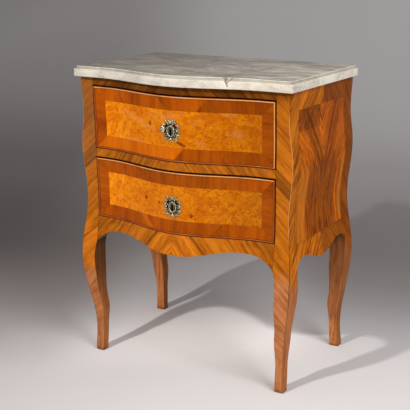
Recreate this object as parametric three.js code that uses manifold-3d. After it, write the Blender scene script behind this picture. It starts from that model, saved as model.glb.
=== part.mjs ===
// A small commode chest on cabriole legs, with a bowed serpentine front, two drawers,
// veneered case and a loose marble top. Millimetres, +Z up, the front faces -Y.
// The origin is at the middle of the whole object's box, on the floor.
import * as THREE from 'three';
import { mergeVertices } from 'three/addons/utils/BufferGeometryUtils.js';
import Module from 'manifold-3d';

const wasm = await Module();
wasm.setup();

// Overall sizes
const OVERALL_HEIGHT = 820;
const MARBLE_THICKNESS = 28;
const CASE_WIDTH = 612;
const CASE_DEPTH = 391;
const REAR_FLARE = 10;
const FRONT_BOW = 50;
const POST_WIDTH = 38;
const BOW_END_INSET = 28;

// Gaps between pieces
const SEAT_GAP = 0.3;
const CUT_OVERRUN = 5;

// Heights of the front, from the marble down
const TOP_RAIL_HEIGHT = 22;
const UPPER_OPENING_HEIGHT = 171.5;
const MIDDLE_RAIL_HEIGHT = 23;
const LOWER_OPENING_HEIGHT = 168;

const MARBLE_BOTTOM = OVERALL_HEIGHT - MARBLE_THICKNESS;
const CASE_TOP = MARBLE_BOTTOM - SEAT_GAP;
const UPPER_OPENING_TOP = CASE_TOP - TOP_RAIL_HEIGHT;
const UPPER_OPENING_BOTTOM = UPPER_OPENING_TOP - UPPER_OPENING_HEIGHT;
const LOWER_OPENING_TOP = UPPER_OPENING_BOTTOM - MIDDLE_RAIL_HEIGHT;
const BODY_BOTTOM = LOWER_OPENING_TOP - LOWER_OPENING_HEIGHT;
const HALF_CASE = CASE_WIDTH / 2;
const HALF_OPENING = HALF_CASE - POST_WIDTH;
const BOW_HALF_SPAN = HALF_OPENING - BOW_END_INSET;

// Marble top: a flat band under a hollow, with a thin lip set back on top
const MARBLE_FRONT_OVERHANG = 18;
const MARBLE_SIDE_OVERHANG = 12;
const MARBLE_BACK_OVERHANG = 4;
const MARBLE_LIP_HEIGHT = 3.6;
const MARBLE_LIP_SETBACK = 9;
const MARBLE_HOLLOW_HEIGHT = 4.6;
const MARBLE_LIP_NOSE = 1.2;
const MARBLE_ARRIS = 1.5;
const MARBLE_CORNER_RADIUS = 7;
const MARBLE_CORNER_STEPS = 3;
const MARBLE_HOLLOW_STEPS = 3;

// Plan: the case's back stands a little inside the marble's back
const OVERALL_DEPTH = MARBLE_FRONT_OVERHANG + FRONT_BOW + CASE_DEPTH + MARBLE_BACK_OVERHANG;
const BACK_Y = OVERALL_DEPTH / 2 - MARBLE_BACK_OVERHANG;
const FRONT_CORNER_Y = BACK_Y - CASE_DEPTH;

// Side profile: how far the side stands out from its line under the marble
const SIDE_NECK_HOLLOW = 3;
const SIDE_SWELL = 7.5;
const SIDE_WAIST_HOLLOW = 2.5;
const SIDE_KNEE_SWELL = 11.5;
const SIDE_ANKLE_HOLLOW = 11.5;
const SIDE_FOOT_HOLLOW = 10;
const REAR_KNEE_SPLAY = 7;
const REAR_ANKLE_SPLAY = 5.5;
const REAR_FOOT_SPLAY = 8;

// Front profile: how far the front lies behind its line under the marble
const FRONT_UPPER_SETBACK = 6.5;
const FRONT_WAIST_SETBACK = 11;
const FRONT_KNEE_SWELL = 6;
const FRONT_ANKLE_SETBACK = 21;
const FRONT_FOOT_SETBACK = 17;
const REAR_ANKLE_HOLLOW = 0.5;
const REAR_FOOT_KICK = 3.5;

// Places of the profiles' turns, as shares of the body's height and of the height under it
const SIDE_NECK_SHARE = 0.8;
const SIDE_SWELL_SHARE = 0.515;
const SIDE_WAIST_SHARE = 0.165;
const SIDE_KNEE_SHARE = 0.74;
const FRONT_UPPER_SHARE = 0.553;
const FRONT_WAIST_SHARE = 0.11;
const FRONT_KNEE_SHARE = 0.7;
const ANKLE_SHARE = 0.17;
const SPLAY_FULL_SHARE = 0.72;

// Posts and legs, each pair cut from one length of wood
const POST_DEPTH = 44;
const POST_ARRIS = 1;
const LEG_ROUNDING = 4;
const LEG_THIGH_WIDTH = 41;
const LEG_CALF_WIDTH = 34;
const LEG_ANKLE_WIDTH = 24.5;
const LEG_FOOT_WIDTH = 26;
const LEG_KNEE_DEPTH = 53;
const LEG_CALF_DEPTH = 38;
const LEG_ANKLE_DEPTH = 26;
const LEG_FOOT_DEPTH = 26;
const FOOT_EDGE = 2.5;
const REAR_LEG_WIDTH_SHARE = 1.12;
const LEG_THIGH_SHARE = 0.65;
const LEG_CALF_SHARE = 0.37;
const POST_STEPS = 9;
const LEG_STEPS = 15;

// Side panels and aprons
const SIDE_PANEL_THICKNESS = 18;
const SIDE_PANEL_LONG_STEPS = 12;
const SIDE_PANEL_UPRIGHT_STEPS = 8;
const SIDE_APRON_CENTRE_DROP = 69;
const SIDE_APRON_ARCH_DROP = 44;
const SIDE_APRON_END_DROP = 62;
const SIDE_APRON_FLAT_SHARE = 0.05;
const SIDE_APRON_ARCH_SHARE = 0.74;
const APRON_THICKNESS = 24;
const APRON_CENTRE_DROP = 55;
const APRON_ARCH_DROP = 33;
const APRON_END_DROP = 68;
const APRON_FLAT_SHARE = 0.06;
const APRON_ARCH_SHARE = 0.65;
const APRON_UPRIGHT_STEPS = 3;
const FRONT_STEPS = 18;
const HEIGHT_STEPS = 26;
const STATION_MARGIN_SHARE = 0.25;

// Rails, boards and runners inside the case
const FRONT_RAIL_DEPTH = 60;
const BACK_BOARD_THICKNESS = 12;
const BACK_BOARD_COUNT = 3;
const BACK_RAIL_THICKNESS = 20;
const TOP_BACK_RAIL_HEIGHT = 40;
const BOTTOM_BACK_RAIL_HEIGHT = 36;
const BOTTOM_BACK_RAIL_DROP = 18;
const TOP_SIDE_RAIL_HEIGHT = 20;
const TOP_SIDE_RAIL_WIDTH = 42;
const RUNNER_HEIGHT = 18;
const RUNNER_WIDTH = 40;
const GUIDE_HEIGHT = 16;
const STOP_HEIGHT = 20;
const PANEL_THICKNESS = 8;
const PANEL_GROOVE_DEPTH = 7;
const PANEL_GROOVE_RISE = 5;

// Tenons of the rails, and the tongues of the side panels, in the posts
const TENON_LENGTH = 16;
const TENON_THICKNESS = 12;
const TENON_SHOULDER = 4;
const FRONT_TENON_SETBACK = 20;
const APRON_TENON_RISE = 14;
const TONGUE_LENGTH = 8;
const TONGUE_THICKNESS = 8;
const TONGUE_SETBACK = 8;

// Drawers
const DRAWER_TOP_GAP = 2.8;
const DRAWER_BOTTOM_GAP = 1.4;
const DRAWER_END_GAP = 1.5;
const DRAWER_FRONT_THICKNESS = 22;
const DRAWER_SIDE_THICKNESS = 12;
const DRAWER_BACK_THICKNESS = 11;
const DRAWER_BOTTOM_THICKNESS = 7;
const DRAWER_BOTTOM_RISE = 12;
const DRAWER_GROOVE_DEPTH = 6;
const DRAWER_SIDE_TOP_DROP = 7;
const DRAWER_BACK_TOP_DROP = 16;
const DRAWER_REAR_CLEARANCE = 8;
const TAIL_LENGTH = 11;
const TAIL_HEIGHT = 22;
const TAIL_FLARE = 4;
const TAIL_COUNT = 4;
const BEAD_WIDTH = 5;
const BEAD_DEPTH = 6;
const BEAD_PROUD = 2.4;
const BEAD_EDGE_PROUD = 0.6;
const BEAD_STEPS = 2;

// Locks, keyholes and their brass plates
const KEYHOLE_RADIUS = 3.4;
const KEYHOLE_SLOT_WIDTH = 4;
const KEYHOLE_SLOT_LENGTH = 11;
const KEYHOLE_WOOD_CLEARANCE = 0.8;
const KEYHOLE_STEPS = 7;
const UPPER_KEYHOLE_DROP = 87.5;
const LOWER_KEYHOLE_DROP = 91;
const LOCK_WIDTH = 64;
const LOCK_THICKNESS = 13;
const LOCK_TAIL = 30;
const LOCK_FACE_COVER = 8.5;
const LOCK_PLATE = 1.6;
const BOLT_WIDTH = 17;
const BOLT_THICKNESS = 5;
const BOLT_LENGTH = 60;
const BOLT_OFFSET = 21;
const BOLT_CLEARANCE = 0.5;
const BOLT_EDGE = 0.8;
const UPPER_BOLT_PROUD = 2.2;
const LOWER_BOLT_PROUD = 0;
const MORTISE_DEPTH = 11;
const PLATE_HALF_WIDTH = 26.5;
const PLATE_HALF_HEIGHT = 29.5;
const PLATE_RIM_THICKNESS = 1.1;
const PLATE_RIDGE_THICKNESS = 2.6;
const PLATE_DISH_THICKNESS = 1.5;
const PLATE_BOSS_THICKNESS = 3.2;
const PLATE_BOSS_WIDTH = 3;
const PLATE_LOBE = 2.6;
const PLATE_STEPS = 48;
const PLATE_HOLE_RADIUS = 2.4;
const PLATE_HOLE_STRETCH_SHARE = 1.7;
const PLATE_HOLE_STEPS = 8;
const PIN_SHANK_RADIUS = 0.8;
const PIN_HEAD_RADIUS = 1.7;
const PIN_HEAD_HEIGHT = 1.1;
const PIN_LENGTH = 6;
const PIN_STEPS = 8;
const PIN_HOLE_RADIUS = 1.1;

// Places on the brass plate, as shares of its half width and half height, and turns in radians
const PLATE_RIDGE_SHARE = 0.82;
const PLATE_DISH_SHARE = 0.6;
const PLATE_HOLE_SHARES = [[-0.52, 0.5], [0.52, 0.5], [-0.56, -0.42], [0.56, -0.42]];
const PIN_PLACE_SHARES = [[0, 0.72], [-0.68, -0.06], [0.68, -0.06]];
const PLATE_HOLE_TURNS = [0.6, -0.6, -0.5, 0.5];
const PLATE_WAVE_COUNT = 8;

// Colours
const VENEER = { color: 0xb97228, roughness: 0.36, metalness: 0 };
const BURL = { color: 0xd07c1c, roughness: 0.33, metalness: 0 };
const MARBLE = { color: 0xd6d0c4, roughness: 0.3, metalness: 0 };
const PINE = { color: 0xb98f5e, roughness: 0.7, metalness: 0 };
const BEAD = { color: 0xa65c20, roughness: 0.35, metalness: 0 };
const BRASS = { color: 0xa59a80, roughness: 0.45, metalness: 0.9 };
const IRON = { color: 0x6f6c68, roughness: 0.5, metalness: 0.9 };

const lerp = (from, to, share) => from + (to - from) * share;
const ease = (share) => (1 - Math.cos(Math.PI * share)) / 2;
const counted = (count) => Array.from({ length: count }, (unused, index) => index);

// Reads a curve through [height, value] stations listed from the top down,
// with a level turn at each one.
function easedCurve(stations) {
  return (z) => {
    const next = stations.findIndex(([height]) => z >= height);
    if (next === 0) {
      return stations[0][1];
    }
    if (next < 0) {
      return stations[stations.length - 1][1];
    }
    const [upper, upperValue] = stations[next - 1];
    const [lower, lowerValue] = stations[next];
    return lerp(upperValue, lowerValue, ease((upper - z) / (upper - lower)));
  };
}

const ordered = (a, b) => [Math.min(a, b), Math.max(a, b)];

const bodyHeightAt = (share) => lerp(BODY_BOTTOM, CASE_TOP, share);
const legHeightAt = (share) => BODY_BOTTOM * share;

const sideProfile = easedCurve([
  [CASE_TOP, 0],
  [bodyHeightAt(SIDE_NECK_SHARE), -SIDE_NECK_HOLLOW],
  [bodyHeightAt(SIDE_SWELL_SHARE), SIDE_SWELL],
  [bodyHeightAt(SIDE_WAIST_SHARE), -SIDE_WAIST_HOLLOW],
  [legHeightAt(SIDE_KNEE_SHARE), SIDE_KNEE_SWELL],
  [legHeightAt(ANKLE_SHARE), -SIDE_ANKLE_HOLLOW],
  [0, -SIDE_FOOT_HOLLOW],
]);

const frontProfile = easedCurve([
  [CASE_TOP, 0],
  [bodyHeightAt(FRONT_UPPER_SHARE), FRONT_UPPER_SETBACK],
  [bodyHeightAt(FRONT_WAIST_SHARE), FRONT_WAIST_SETBACK],
  [legHeightAt(FRONT_KNEE_SHARE), -FRONT_KNEE_SWELL],
  [legHeightAt(ANKLE_SHARE), FRONT_ANKLE_SETBACK],
  [0, FRONT_FOOT_SETBACK],
]);

const rearProfile = easedCurve([
  [legHeightAt(FRONT_KNEE_SHARE), 0],
  [legHeightAt(ANKLE_SHARE), -REAR_ANKLE_HOLLOW],
  [0, REAR_FOOT_KICK],
]);

const rearSplay = easedCurve([
  [bodyHeightAt(SIDE_WAIST_SHARE), 0],
  [legHeightAt(SPLAY_FULL_SHARE), REAR_KNEE_SPLAY],
  [legHeightAt(ANKLE_SHARE), REAR_ANKLE_SPLAY],
  [0, REAR_FOOT_SPLAY],
]);

// The bow of the front, forward of the line between its corners
function bowAt(x) {
  const reach = Math.min(Math.abs(x) / BOW_HALF_SPAN, 1);
  return FRONT_BOW * ease(1 - reach);
}

// Pieces that follow the bow or the profile share these stations, so their faces stay parallel
const evenStations = (low, high, steps) => counted(steps + 1).map((i) => lerp(low, high, i / steps));
const BOW_STATIONS = evenStations(-BOW_HALF_SPAN, BOW_HALF_SPAN, FRONT_STEPS);
const HEIGHT_STATIONS = evenStations(0, CASE_TOP, HEIGHT_STEPS);

function stationsBetween(low, high, grid) {
  const margin = (grid[1] - grid[0]) * STATION_MARGIN_SHARE;
  return [low, ...grid.filter((station) => station > low + margin && station < high - margin), high];
}

const backwardShare = (y) => THREE.MathUtils.clamp((y - FRONT_CORNER_Y) / CASE_DEPTH, 0, 1);
const frontY = (x, z) => FRONT_CORNER_Y + frontProfile(z) - bowAt(x);
const sideX = (y, z) => HALF_CASE + sideProfile(z) + (REAR_FLARE + rearSplay(z)) * backwardShare(y);
const caseSideX = (y) => HALF_CASE + REAR_FLARE * backwardShare(y);

// Mesh building
function closedGeometry(points, triangles) {
  const geometry = new THREE.BufferGeometry();
  geometry.setAttribute('position', new THREE.Float32BufferAttribute(points.flat(), 3));
  let volume = 0;
  for (const [a, b, c] of triangles) {
    const [p, q, r] = [points[a], points[b], points[c]];
    volume += new THREE.Vector3(...p).dot(new THREE.Vector3(...q).cross(new THREE.Vector3(...r)));
  }
  const outward = volume < 0 ? triangles.map(([a, b, c]) => [a, c, b]) : triangles;
  geometry.setIndex(outward.flat());
  return geometry;
}

// A curved board over two lists of stations: pointAt(u, v, w) gives its inner face at w = 0
// and its outer one at w = 1.
function curvedBoard(stationsU, stationsV, pointAt) {
  const points = [];
  for (const w of [0, 1]) {
    for (const u of stationsU) {
      for (const v of stationsV) {
        points.push(pointAt(u, v, w));
      }
    }
  }
  const stepsU = stationsU.length - 1;
  const stepsV = stationsV.length - 1;
  const layer = (stepsU + 1) * (stepsV + 1);
  const at = (i, j, w) => w * layer + i * (stepsV + 1) + j;
  const triangles = [];
  const quad = (a, b, c, d) => triangles.push([a, b, c], [a, c, d]);
  for (let i = 0; i < stepsU; i += 1) {
    for (let j = 0; j < stepsV; j += 1) {
      quad(at(i, j, 0), at(i, j + 1, 0), at(i + 1, j + 1, 0), at(i + 1, j, 0));
      quad(at(i, j, 1), at(i + 1, j, 1), at(i + 1, j + 1, 1), at(i, j + 1, 1));
    }
    quad(at(i, 0, 0), at(i + 1, 0, 0), at(i + 1, 0, 1), at(i, 0, 1));
    quad(at(i, stepsV, 0), at(i, stepsV, 1), at(i + 1, stepsV, 1), at(i + 1, stepsV, 0));
  }
  for (let j = 0; j < stepsV; j += 1) {
    quad(at(0, j, 0), at(0, j, 1), at(0, j + 1, 1), at(0, j + 1, 0));
    quad(at(stepsU, j, 0), at(stepsU, j + 1, 0), at(stepsU, j + 1, 1), at(stepsU, j, 1));
  }
  return closedGeometry(points, triangles);
}

// A skin over rings of equal count, from first to last, with flat ends
function loft(rings) {
  const count = rings[0].length;
  const triangles = [];
  for (let k = 0; k + 1 < rings.length; k += 1) {
    for (let i = 0; i < count; i += 1) {
      const j = (i + 1) % count;
      const [near, far] = [k * count, (k + 1) * count];
      triangles.push([near + i, near + j, far + j], [near + i, far + j, far + i]);
    }
  }
  const points = rings.flat();
  const ends = [[rings[0], 0, true], [rings.at(-1), points.length - count, false]];
  for (const [ring, start, isFirst] of ends) {
    const hub = points.length;
    points.push([0, 1, 2].map((axis) => ring.reduce((sum, point) => sum + point[axis], 0) / count));
    for (let i = 0; i < count; i += 1) {
      const edge = [start + i, start + ((i + 1) % count)];
      triangles.push(isFirst ? [hub, edge[1], edge[0]] : [hub, edge[0], edge[1]]);
    }
  }
  return closedGeometry(points, triangles);
}

function box(x, y, z) {
  const geometry = new THREE.BoxGeometry(x[1] - x[0], y[1] - y[0], z[1] - z[0]);
  return geometry.translate((x[0] + x[1]) / 2, (y[0] + y[1]) / 2, (z[0] + z[1]) / 2);
}

// An outline of [x, z] points, carried along Y
function prismAlongY(outline, y) {
  const shape = new THREE.Shape(outline.map(([x, z]) => new THREE.Vector2(x, z)));
  const geometry = new THREE.ExtrudeGeometry(shape, { depth: y[1] - y[0], bevelEnabled: false });
  return geometry.rotateX(Math.PI / 2).translate(0, y[1], 0);
}

// An outline of [y, z] points, carried along X
function prismAlongX(outline, x) {
  const shape = new THREE.Shape(outline.map(([y, z]) => new THREE.Vector2(y, z)));
  const geometry = new THREE.ExtrudeGeometry(shape, { depth: x[1] - x[0], bevelEnabled: false });
  return geometry.rotateX(Math.PI / 2).rotateZ(Math.PI / 2).translate(x[0], 0, 0);
}

function toSolid(geometry) {
  const bare = geometry.clone();
  bare.deleteAttribute('normal');
  bare.deleteAttribute('uv');
  const merged = mergeVertices(bare);
  return new wasm.Manifold(new wasm.Mesh({
    numProp: 3,
    vertProperties: new Float32Array(merged.attributes.position.array),
    triVerts: new Uint32Array(merged.index.array),
  }));
}

function fromSolid(solid) {
  const { numProp, vertProperties, triVerts } = solid.getMesh();
  const geometry = new THREE.BufferGeometry();
  const corners = [];
  for (const vertex of triVerts) {
    corners.push(...vertProperties.slice(vertex * numProp, vertex * numProp + 3));
  }
  geometry.setAttribute('position', new THREE.Float32BufferAttribute(corners, 3));
  return geometry;
}

const cut = (geometry, ...tools) => fromSolid(
  tools.reduce((solid, tool) => solid.subtract(toSolid(tool)), toSolid(geometry)),
);
const join = (geometry, ...others) => fromSolid(
  others.reduce((solid, other) => solid.add(toSolid(other)), toSolid(geometry)),
);

const commode = new THREE.Group();

function addPart(parent, name, geometry, finish) {
  const shown = geometry.index ? geometry.toNonIndexed() : geometry;
  shown.computeVertexNormals();
  const mesh = new THREE.Mesh(shown, new THREE.MeshStandardMaterial({ ...finish, flatShading: true }));
  mesh.name = name;
  parent.add(mesh);
}

// Marble top
function marbleOutline() {
  const halfFront = caseSideX(FRONT_CORNER_Y) + MARBLE_SIDE_OVERHANG;
  const halfBack = caseSideX(BACK_Y) + MARBLE_SIDE_OVERHANG;
  const frontEdge = FRONT_CORNER_Y - MARBLE_FRONT_OVERHANG;
  const backEdge = BACK_Y + MARBLE_BACK_OVERHANG;
  const frontRun = halfFront - MARBLE_CORNER_RADIUS;
  const outline = stationsBetween(-frontRun, frontRun, BOW_STATIONS).map((x) => [x, frontEdge - bowAt(x)]);
  const corner = outline.length - 1;
  for (let i = 1; i <= MARBLE_CORNER_STEPS; i += 1) {
    const angle = (Math.PI / 2) * (i / MARBLE_CORNER_STEPS);
    outline.push([
      frontRun + MARBLE_CORNER_RADIUS * Math.sin(angle),
      frontEdge + MARBLE_CORNER_RADIUS * (1 - Math.cos(angle)),
    ]);
  }
  outline.push([halfBack, backEdge], [-halfBack, backEdge]);
  for (let i = MARBLE_CORNER_STEPS; i >= 1; i -= 1) {
    const [x, y] = outline[corner + i];
    outline.push([-x, y]);
  }
  return outline;
}

// Moves an outline inwards, except where it runs along the straight back
function insetOutline(outline, inset) {
  const backEdge = BACK_Y + MARBLE_BACK_OVERHANG;
  return outline.map(([x, y], index) => {
    const before = outline[(index + outline.length - 1) % outline.length];
    const after = outline[(index + 1) % outline.length];
    const edges = [[before, [x, y]], [[x, y], after]].map(([from, to]) => {
      const length = Math.hypot(to[0] - from[0], to[1] - from[1]);
      return [-(to[1] - from[1]) / length, (to[0] - from[0]) / length];
    });
    if (y === backEdge) {
      return [x - Math.sign(x) * inset, y];
    }
    const spread = 1 + edges[0][0] * edges[1][0] + edges[0][1] * edges[1][1];
    return [
      x + (inset * (edges[0][0] + edges[1][0])) / spread,
      y + (inset * (edges[0][1] + edges[1][1])) / spread,
    ];
  });
}

function marbleTop() {
  const outline = marbleOutline();
  const hollowTop = OVERALL_HEIGHT - MARBLE_LIP_HEIGHT;
  const bandTop = hollowTop - MARBLE_HOLLOW_HEIGHT;
  const levels = [
    [MARBLE_BOTTOM, MARBLE_ARRIS],
    [MARBLE_BOTTOM + MARBLE_ARRIS, 0],
    [bandTop - MARBLE_ARRIS, 0],
    [bandTop, MARBLE_ARRIS],
  ];
  for (let i = 1; i <= MARBLE_HOLLOW_STEPS; i += 1) {
    const angle = (Math.PI / 2) * (i / MARBLE_HOLLOW_STEPS);
    levels.push([
      bandTop + MARBLE_HOLLOW_HEIGHT * (1 - Math.cos(angle)),
      lerp(MARBLE_ARRIS, MARBLE_LIP_SETBACK, Math.sin(angle)),
    ]);
  }
  levels.push([hollowTop + MARBLE_LIP_HEIGHT / 2, MARBLE_LIP_SETBACK - MARBLE_LIP_NOSE]);
  levels.push([OVERALL_HEIGHT, MARBLE_LIP_SETBACK]);
  return loft(levels.map(([z, inset]) => insetOutline(outline, inset).map(([x, y]) => [x, y, z])));
}

addPart(commode, 'marble_top', marbleTop(), MARBLE);

// Lower edges of the aprons: a flat lobe, an arch each side of it and a quick drop to the leg
function apronDrop(share, centreDrop, archDrop, endDrop, flatShare, archShare) {
  const reach = Math.abs(share);
  if (reach <= archShare) {
    const along = Math.max((reach - flatShare) / (archShare - flatShare), 0);
    return lerp(centreDrop, archDrop, ease(along));
  }
  return lerp(archDrop, endDrop, ((reach - archShare) / (1 - archShare)) ** 3);
}

const frontApronBottom = (x) => BODY_BOTTOM - apronDrop(
  x / HALF_OPENING,
  APRON_CENTRE_DROP,
  APRON_ARCH_DROP,
  APRON_END_DROP,
  APRON_FLAT_SHARE,
  APRON_ARCH_SHARE,
);
const sideApronBottom = (share) => BODY_BOTTOM - apronDrop(
  share,
  SIDE_APRON_CENTRE_DROP,
  SIDE_APRON_ARCH_DROP,
  SIDE_APRON_END_DROP,
  SIDE_APRON_FLAT_SHARE,
  SIDE_APRON_ARCH_SHARE,
);

// Posts and legs
const FRONT_POST_INNER_Y = FRONT_CORNER_Y + POST_DEPTH;
const REAR_POST_INNER_Y = BACK_Y - POST_DEPTH;
const FRONT_SHOULDER = BODY_BOTTOM - APRON_END_DROP;
const SIDE_SHOULDER = BODY_BOTTOM - SIDE_APRON_END_DROP;

// Leg width under the shoulder, starting from the post's own width there. The rear legs are
// a little wider than the front ones.
function legWidthAt(isRear, z, shoulderWidth) {
  const thigh = legHeightAt(LEG_THIGH_SHARE);
  const width = easedCurve([
    [thigh, LEG_THIGH_WIDTH],
    [legHeightAt(LEG_CALF_SHARE), LEG_CALF_WIDTH],
    [legHeightAt(ANKLE_SHARE), LEG_ANKLE_WIDTH],
    [0, LEG_FOOT_WIDTH],
  ])(z) * (isRear ? REAR_LEG_WIDTH_SHARE : 1);
  if (z <= thigh) {
    return width;
  }
  const share = (FRONT_SHOULDER - z) / (FRONT_SHOULDER - thigh);
  return lerp(shoulderWidth, width, 1 - (1 - share) ** 2);
}

function legDepthAt(z, shoulderDepth) {
  return easedCurve([
    [SIDE_SHOULDER, shoulderDepth],
    [legHeightAt(FRONT_KNEE_SHARE), LEG_KNEE_DEPTH],
    [legHeightAt(LEG_CALF_SHARE), LEG_CALF_DEPTH],
    [legHeightAt(ANKLE_SHARE), LEG_ANKLE_DEPTH],
    [0, LEG_FOOT_DEPTH],
  ])(z);
}

function postInnerX(isRear) {
  return isRear ? HALF_OPENING + REAR_FLARE : HALF_OPENING;
}

// Places of the back boards and back rails
const BACK_BOARD_FRONT_Y = BACK_Y - BACK_BOARD_THICKNESS;
const BACK_RAIL_BACK_Y = BACK_BOARD_FRONT_Y - SEAT_GAP;
const BACK_RAIL_FRONT_Y = BACK_RAIL_BACK_Y - BACK_RAIL_THICKNESS;
const BACK_BOTTOM = BODY_BOTTOM - BOTTOM_BACK_RAIL_DROP;

// Tenons of the rails: the posts that they enter, and how far up and down they reach
const railTenons = {
  top_front_rail: { isRear: false, z: [UPPER_OPENING_TOP, CASE_TOP] },
  middle_front_rail: { isRear: false, z: [LOWER_OPENING_TOP, UPPER_OPENING_BOTTOM] },
  front_apron: { isRear: false, z: [FRONT_SHOULDER + APRON_TENON_RISE, BODY_BOTTOM] },
  top_back_rail: { isRear: true, z: [CASE_TOP - TOP_BACK_RAIL_HEIGHT, CASE_TOP] },
  bottom_back_rail: { isRear: true, z: [BACK_BOTTOM, BACK_BOTTOM + BOTTOM_BACK_RAIL_HEIGHT] },
};

// A rail's tenon at one end, grown all round where it cuts its mortise
function tenon(name, sign, grow) {
  const { isRear, z } = railTenons[name];
  const front = isRear
    ? BACK_RAIL_FRONT_Y + (BACK_RAIL_THICKNESS - TENON_THICKNESS) / 2
    : FRONT_CORNER_Y + FRONT_TENON_SETBACK;
  return box(
    ordered(sign * (postInnerX(isRear) - CUT_OVERRUN), sign * (postInnerX(isRear) + TENON_LENGTH + grow)),
    [front - grow, front + TENON_THICKNESS + grow],
    [z[0] + TENON_SHOULDER - grow, z[1] - TENON_SHOULDER + grow],
  );
}

const withTenons = (name, rail) => join(rail, tenon(name, -1, 0), tenon(name, 1, 0));

// A side panel's tongue at its front or rear edge, grown where it cuts its groove
function panelTongue(isRear, sign, grow) {
  const outward = isRear ? 1 : -1;
  const edgeY = isRear ? REAR_POST_INNER_Y : FRONT_POST_INNER_Y;
  const outerX = caseSideX(edgeY) - TONGUE_SETBACK;
  return box(
    ordered(sign * (outerX - TONGUE_THICKNESS - grow), sign * (outerX + grow)),
    ordered(edgeY - outward * CUT_OVERRUN, edgeY + outward * (TONGUE_LENGTH + grow)),
    [BODY_BOTTOM - grow, CASE_TOP - TENON_SHOULDER + grow],
  );
}

// One section of the right-hand front or rear post and leg
function legSection(isRear, z) {
  const outward = isRear ? 1 : -1;
  const cornerY = isRear ? BACK_Y + rearProfile(z) : FRONT_CORNER_Y + frontProfile(z);
  const postInnerY = isRear ? REAR_POST_INNER_Y : FRONT_POST_INNER_Y;
  const shoulderCornerX = sideX(cornerY, FRONT_SHOULDER);
  const shoulderCornerY = isRear
    ? BACK_Y + rearProfile(SIDE_SHOULDER)
    : FRONT_CORNER_Y + frontProfile(SIDE_SHOULDER);
  const innerX = z >= FRONT_SHOULDER
    ? postInnerX(isRear)
    : sideX(cornerY, z) - legWidthAt(isRear, z, shoulderCornerX - postInnerX(isRear));
  const innerY = z >= SIDE_SHOULDER
    ? postInnerY
    : cornerY - outward * legDepthAt(z, Math.abs(shoulderCornerY - postInnerY));
  const rounding = easedCurve([
    [FRONT_SHOULDER, POST_ARRIS],
    [legHeightAt(ANKLE_SHARE), LEG_ROUNDING],
  ])(z);
  const inset = z > 0 ? 0 : FOOT_EDGE;
  const corners = [
    [sideX(cornerY, z) - inset, cornerY - outward * inset],
    [innerX + inset, cornerY - outward * inset],
    [innerX + inset, innerY + outward * inset],
    [sideX(innerY, z) - inset, innerY + outward * inset],
  ];
  return corners.flatMap(([x, y], index) => {
    const before = corners[(index + corners.length - 1) % corners.length];
    const after = corners[(index + 1) % corners.length];
    return [before, after].map(([towardX, towardY]) => {
      const length = Math.hypot(towardX - x, towardY - y);
      return [x + ((towardX - x) * rounding) / length, y + ((towardY - y) * rounding) / length, z];
    });
  });
}

function legHeights() {
  const post = counted(POST_STEPS).map((i) => lerp(CASE_TOP, SIDE_SHOULDER, i / POST_STEPS));
  const leg = counted(LEG_STEPS).map((i) => lerp(FRONT_SHOULDER, FOOT_EDGE, i / (LEG_STEPS - 1)));
  return [...post, SIDE_SHOULDER, ...leg, 0];
}

for (const [isRear, place] of [[false, 'front'], [true, 'rear']]) {
  for (const [side, sign] of [['left', -1], ['right', 1]]) {
    const rings = legHeights().map((z) => legSection(isRear, z).map(([x, y]) => [sign * x, y, z]));
    const entering = Object.keys(railTenons).filter((name) => railTenons[name].isRear === isRear);
    const mortises = entering.map((name) => tenon(name, sign, SEAT_GAP));
    const leg = cut(loft(rings), ...mortises, panelTongue(isRear, sign, SEAT_GAP));
    addPart(commode, `${place}_${side}_leg`, leg, VENEER);
  }
}

// Side panels, each one board with the side apron cut in its lower edge
for (const [side, sign] of [['left', -1], ['right', 1]]) {
  const along = evenStations(0, 1, SIDE_PANEL_LONG_STEPS);
  const up = evenStations(0, 1, SIDE_PANEL_UPRIGHT_STEPS);
  const panel = curvedBoard(along, up, (u, v, w) => {
    const y = lerp(FRONT_POST_INNER_Y + SEAT_GAP, REAR_POST_INNER_Y - SEAT_GAP, u);
    const z = lerp(sideApronBottom(2 * u - 1), CASE_TOP, v);
    const inner = caseSideX(y) - SIDE_WAIST_HOLLOW - SIDE_PANEL_THICKNESS;
    return [sign * (w ? sideX(y, z) : inner), y, z];
  });
  const tongued = join(panel, panelTongue(false, sign, 0), panelTongue(true, sign, 0));
  addPart(commode, `${side}_side_panel`, tongued, VENEER);
}

// Front rails: bowed in front and straight behind
const RAIL_HALF = HALF_OPENING - SEAT_GAP;
const RAIL_BACK_Y = FRONT_CORNER_Y + FRONT_RAIL_DEPTH;

const RAIL_STATIONS = stationsBetween(-RAIL_HALF, RAIL_HALF, BOW_STATIONS);

function frontRail(bottom, top) {
  return curvedBoard(RAIL_STATIONS, [bottom, top], (x, z, w) => [x, w ? frontY(x, z) : RAIL_BACK_Y, z]);
}

// A lock stands upright behind the bowed face of its drawer's front, level with its top edge
const lockFrontAt = (drawerTop) => frontY(LOCK_WIDTH / 2, drawerTop) + LOCK_FACE_COVER;

function boltMortise(openingTop) {
  const front = lockFrontAt(openingTop - DRAWER_TOP_GAP) + LOCK_PLATE - BOLT_CLEARANCE;
  const halfWidth = BOLT_WIDTH / 2 + BOLT_CLEARANCE;
  return box(
    [BOLT_OFFSET - halfWidth, BOLT_OFFSET + halfWidth],
    [front, front + BOLT_THICKNESS + 2 * BOLT_CLEARANCE],
    [openingTop - CUT_OVERRUN, openingTop + MORTISE_DEPTH],
  );
}

const frontRails = [
  ['top_front_rail', UPPER_OPENING_TOP, CASE_TOP],
  ['middle_front_rail', LOWER_OPENING_TOP, UPPER_OPENING_BOTTOM],
];
for (const [name, bottom, top] of frontRails) {
  const rail = cut(withTenons(name, frontRail(bottom, top)), boltMortise(bottom));
  addPart(commode, name, rail, VENEER);
}

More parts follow.
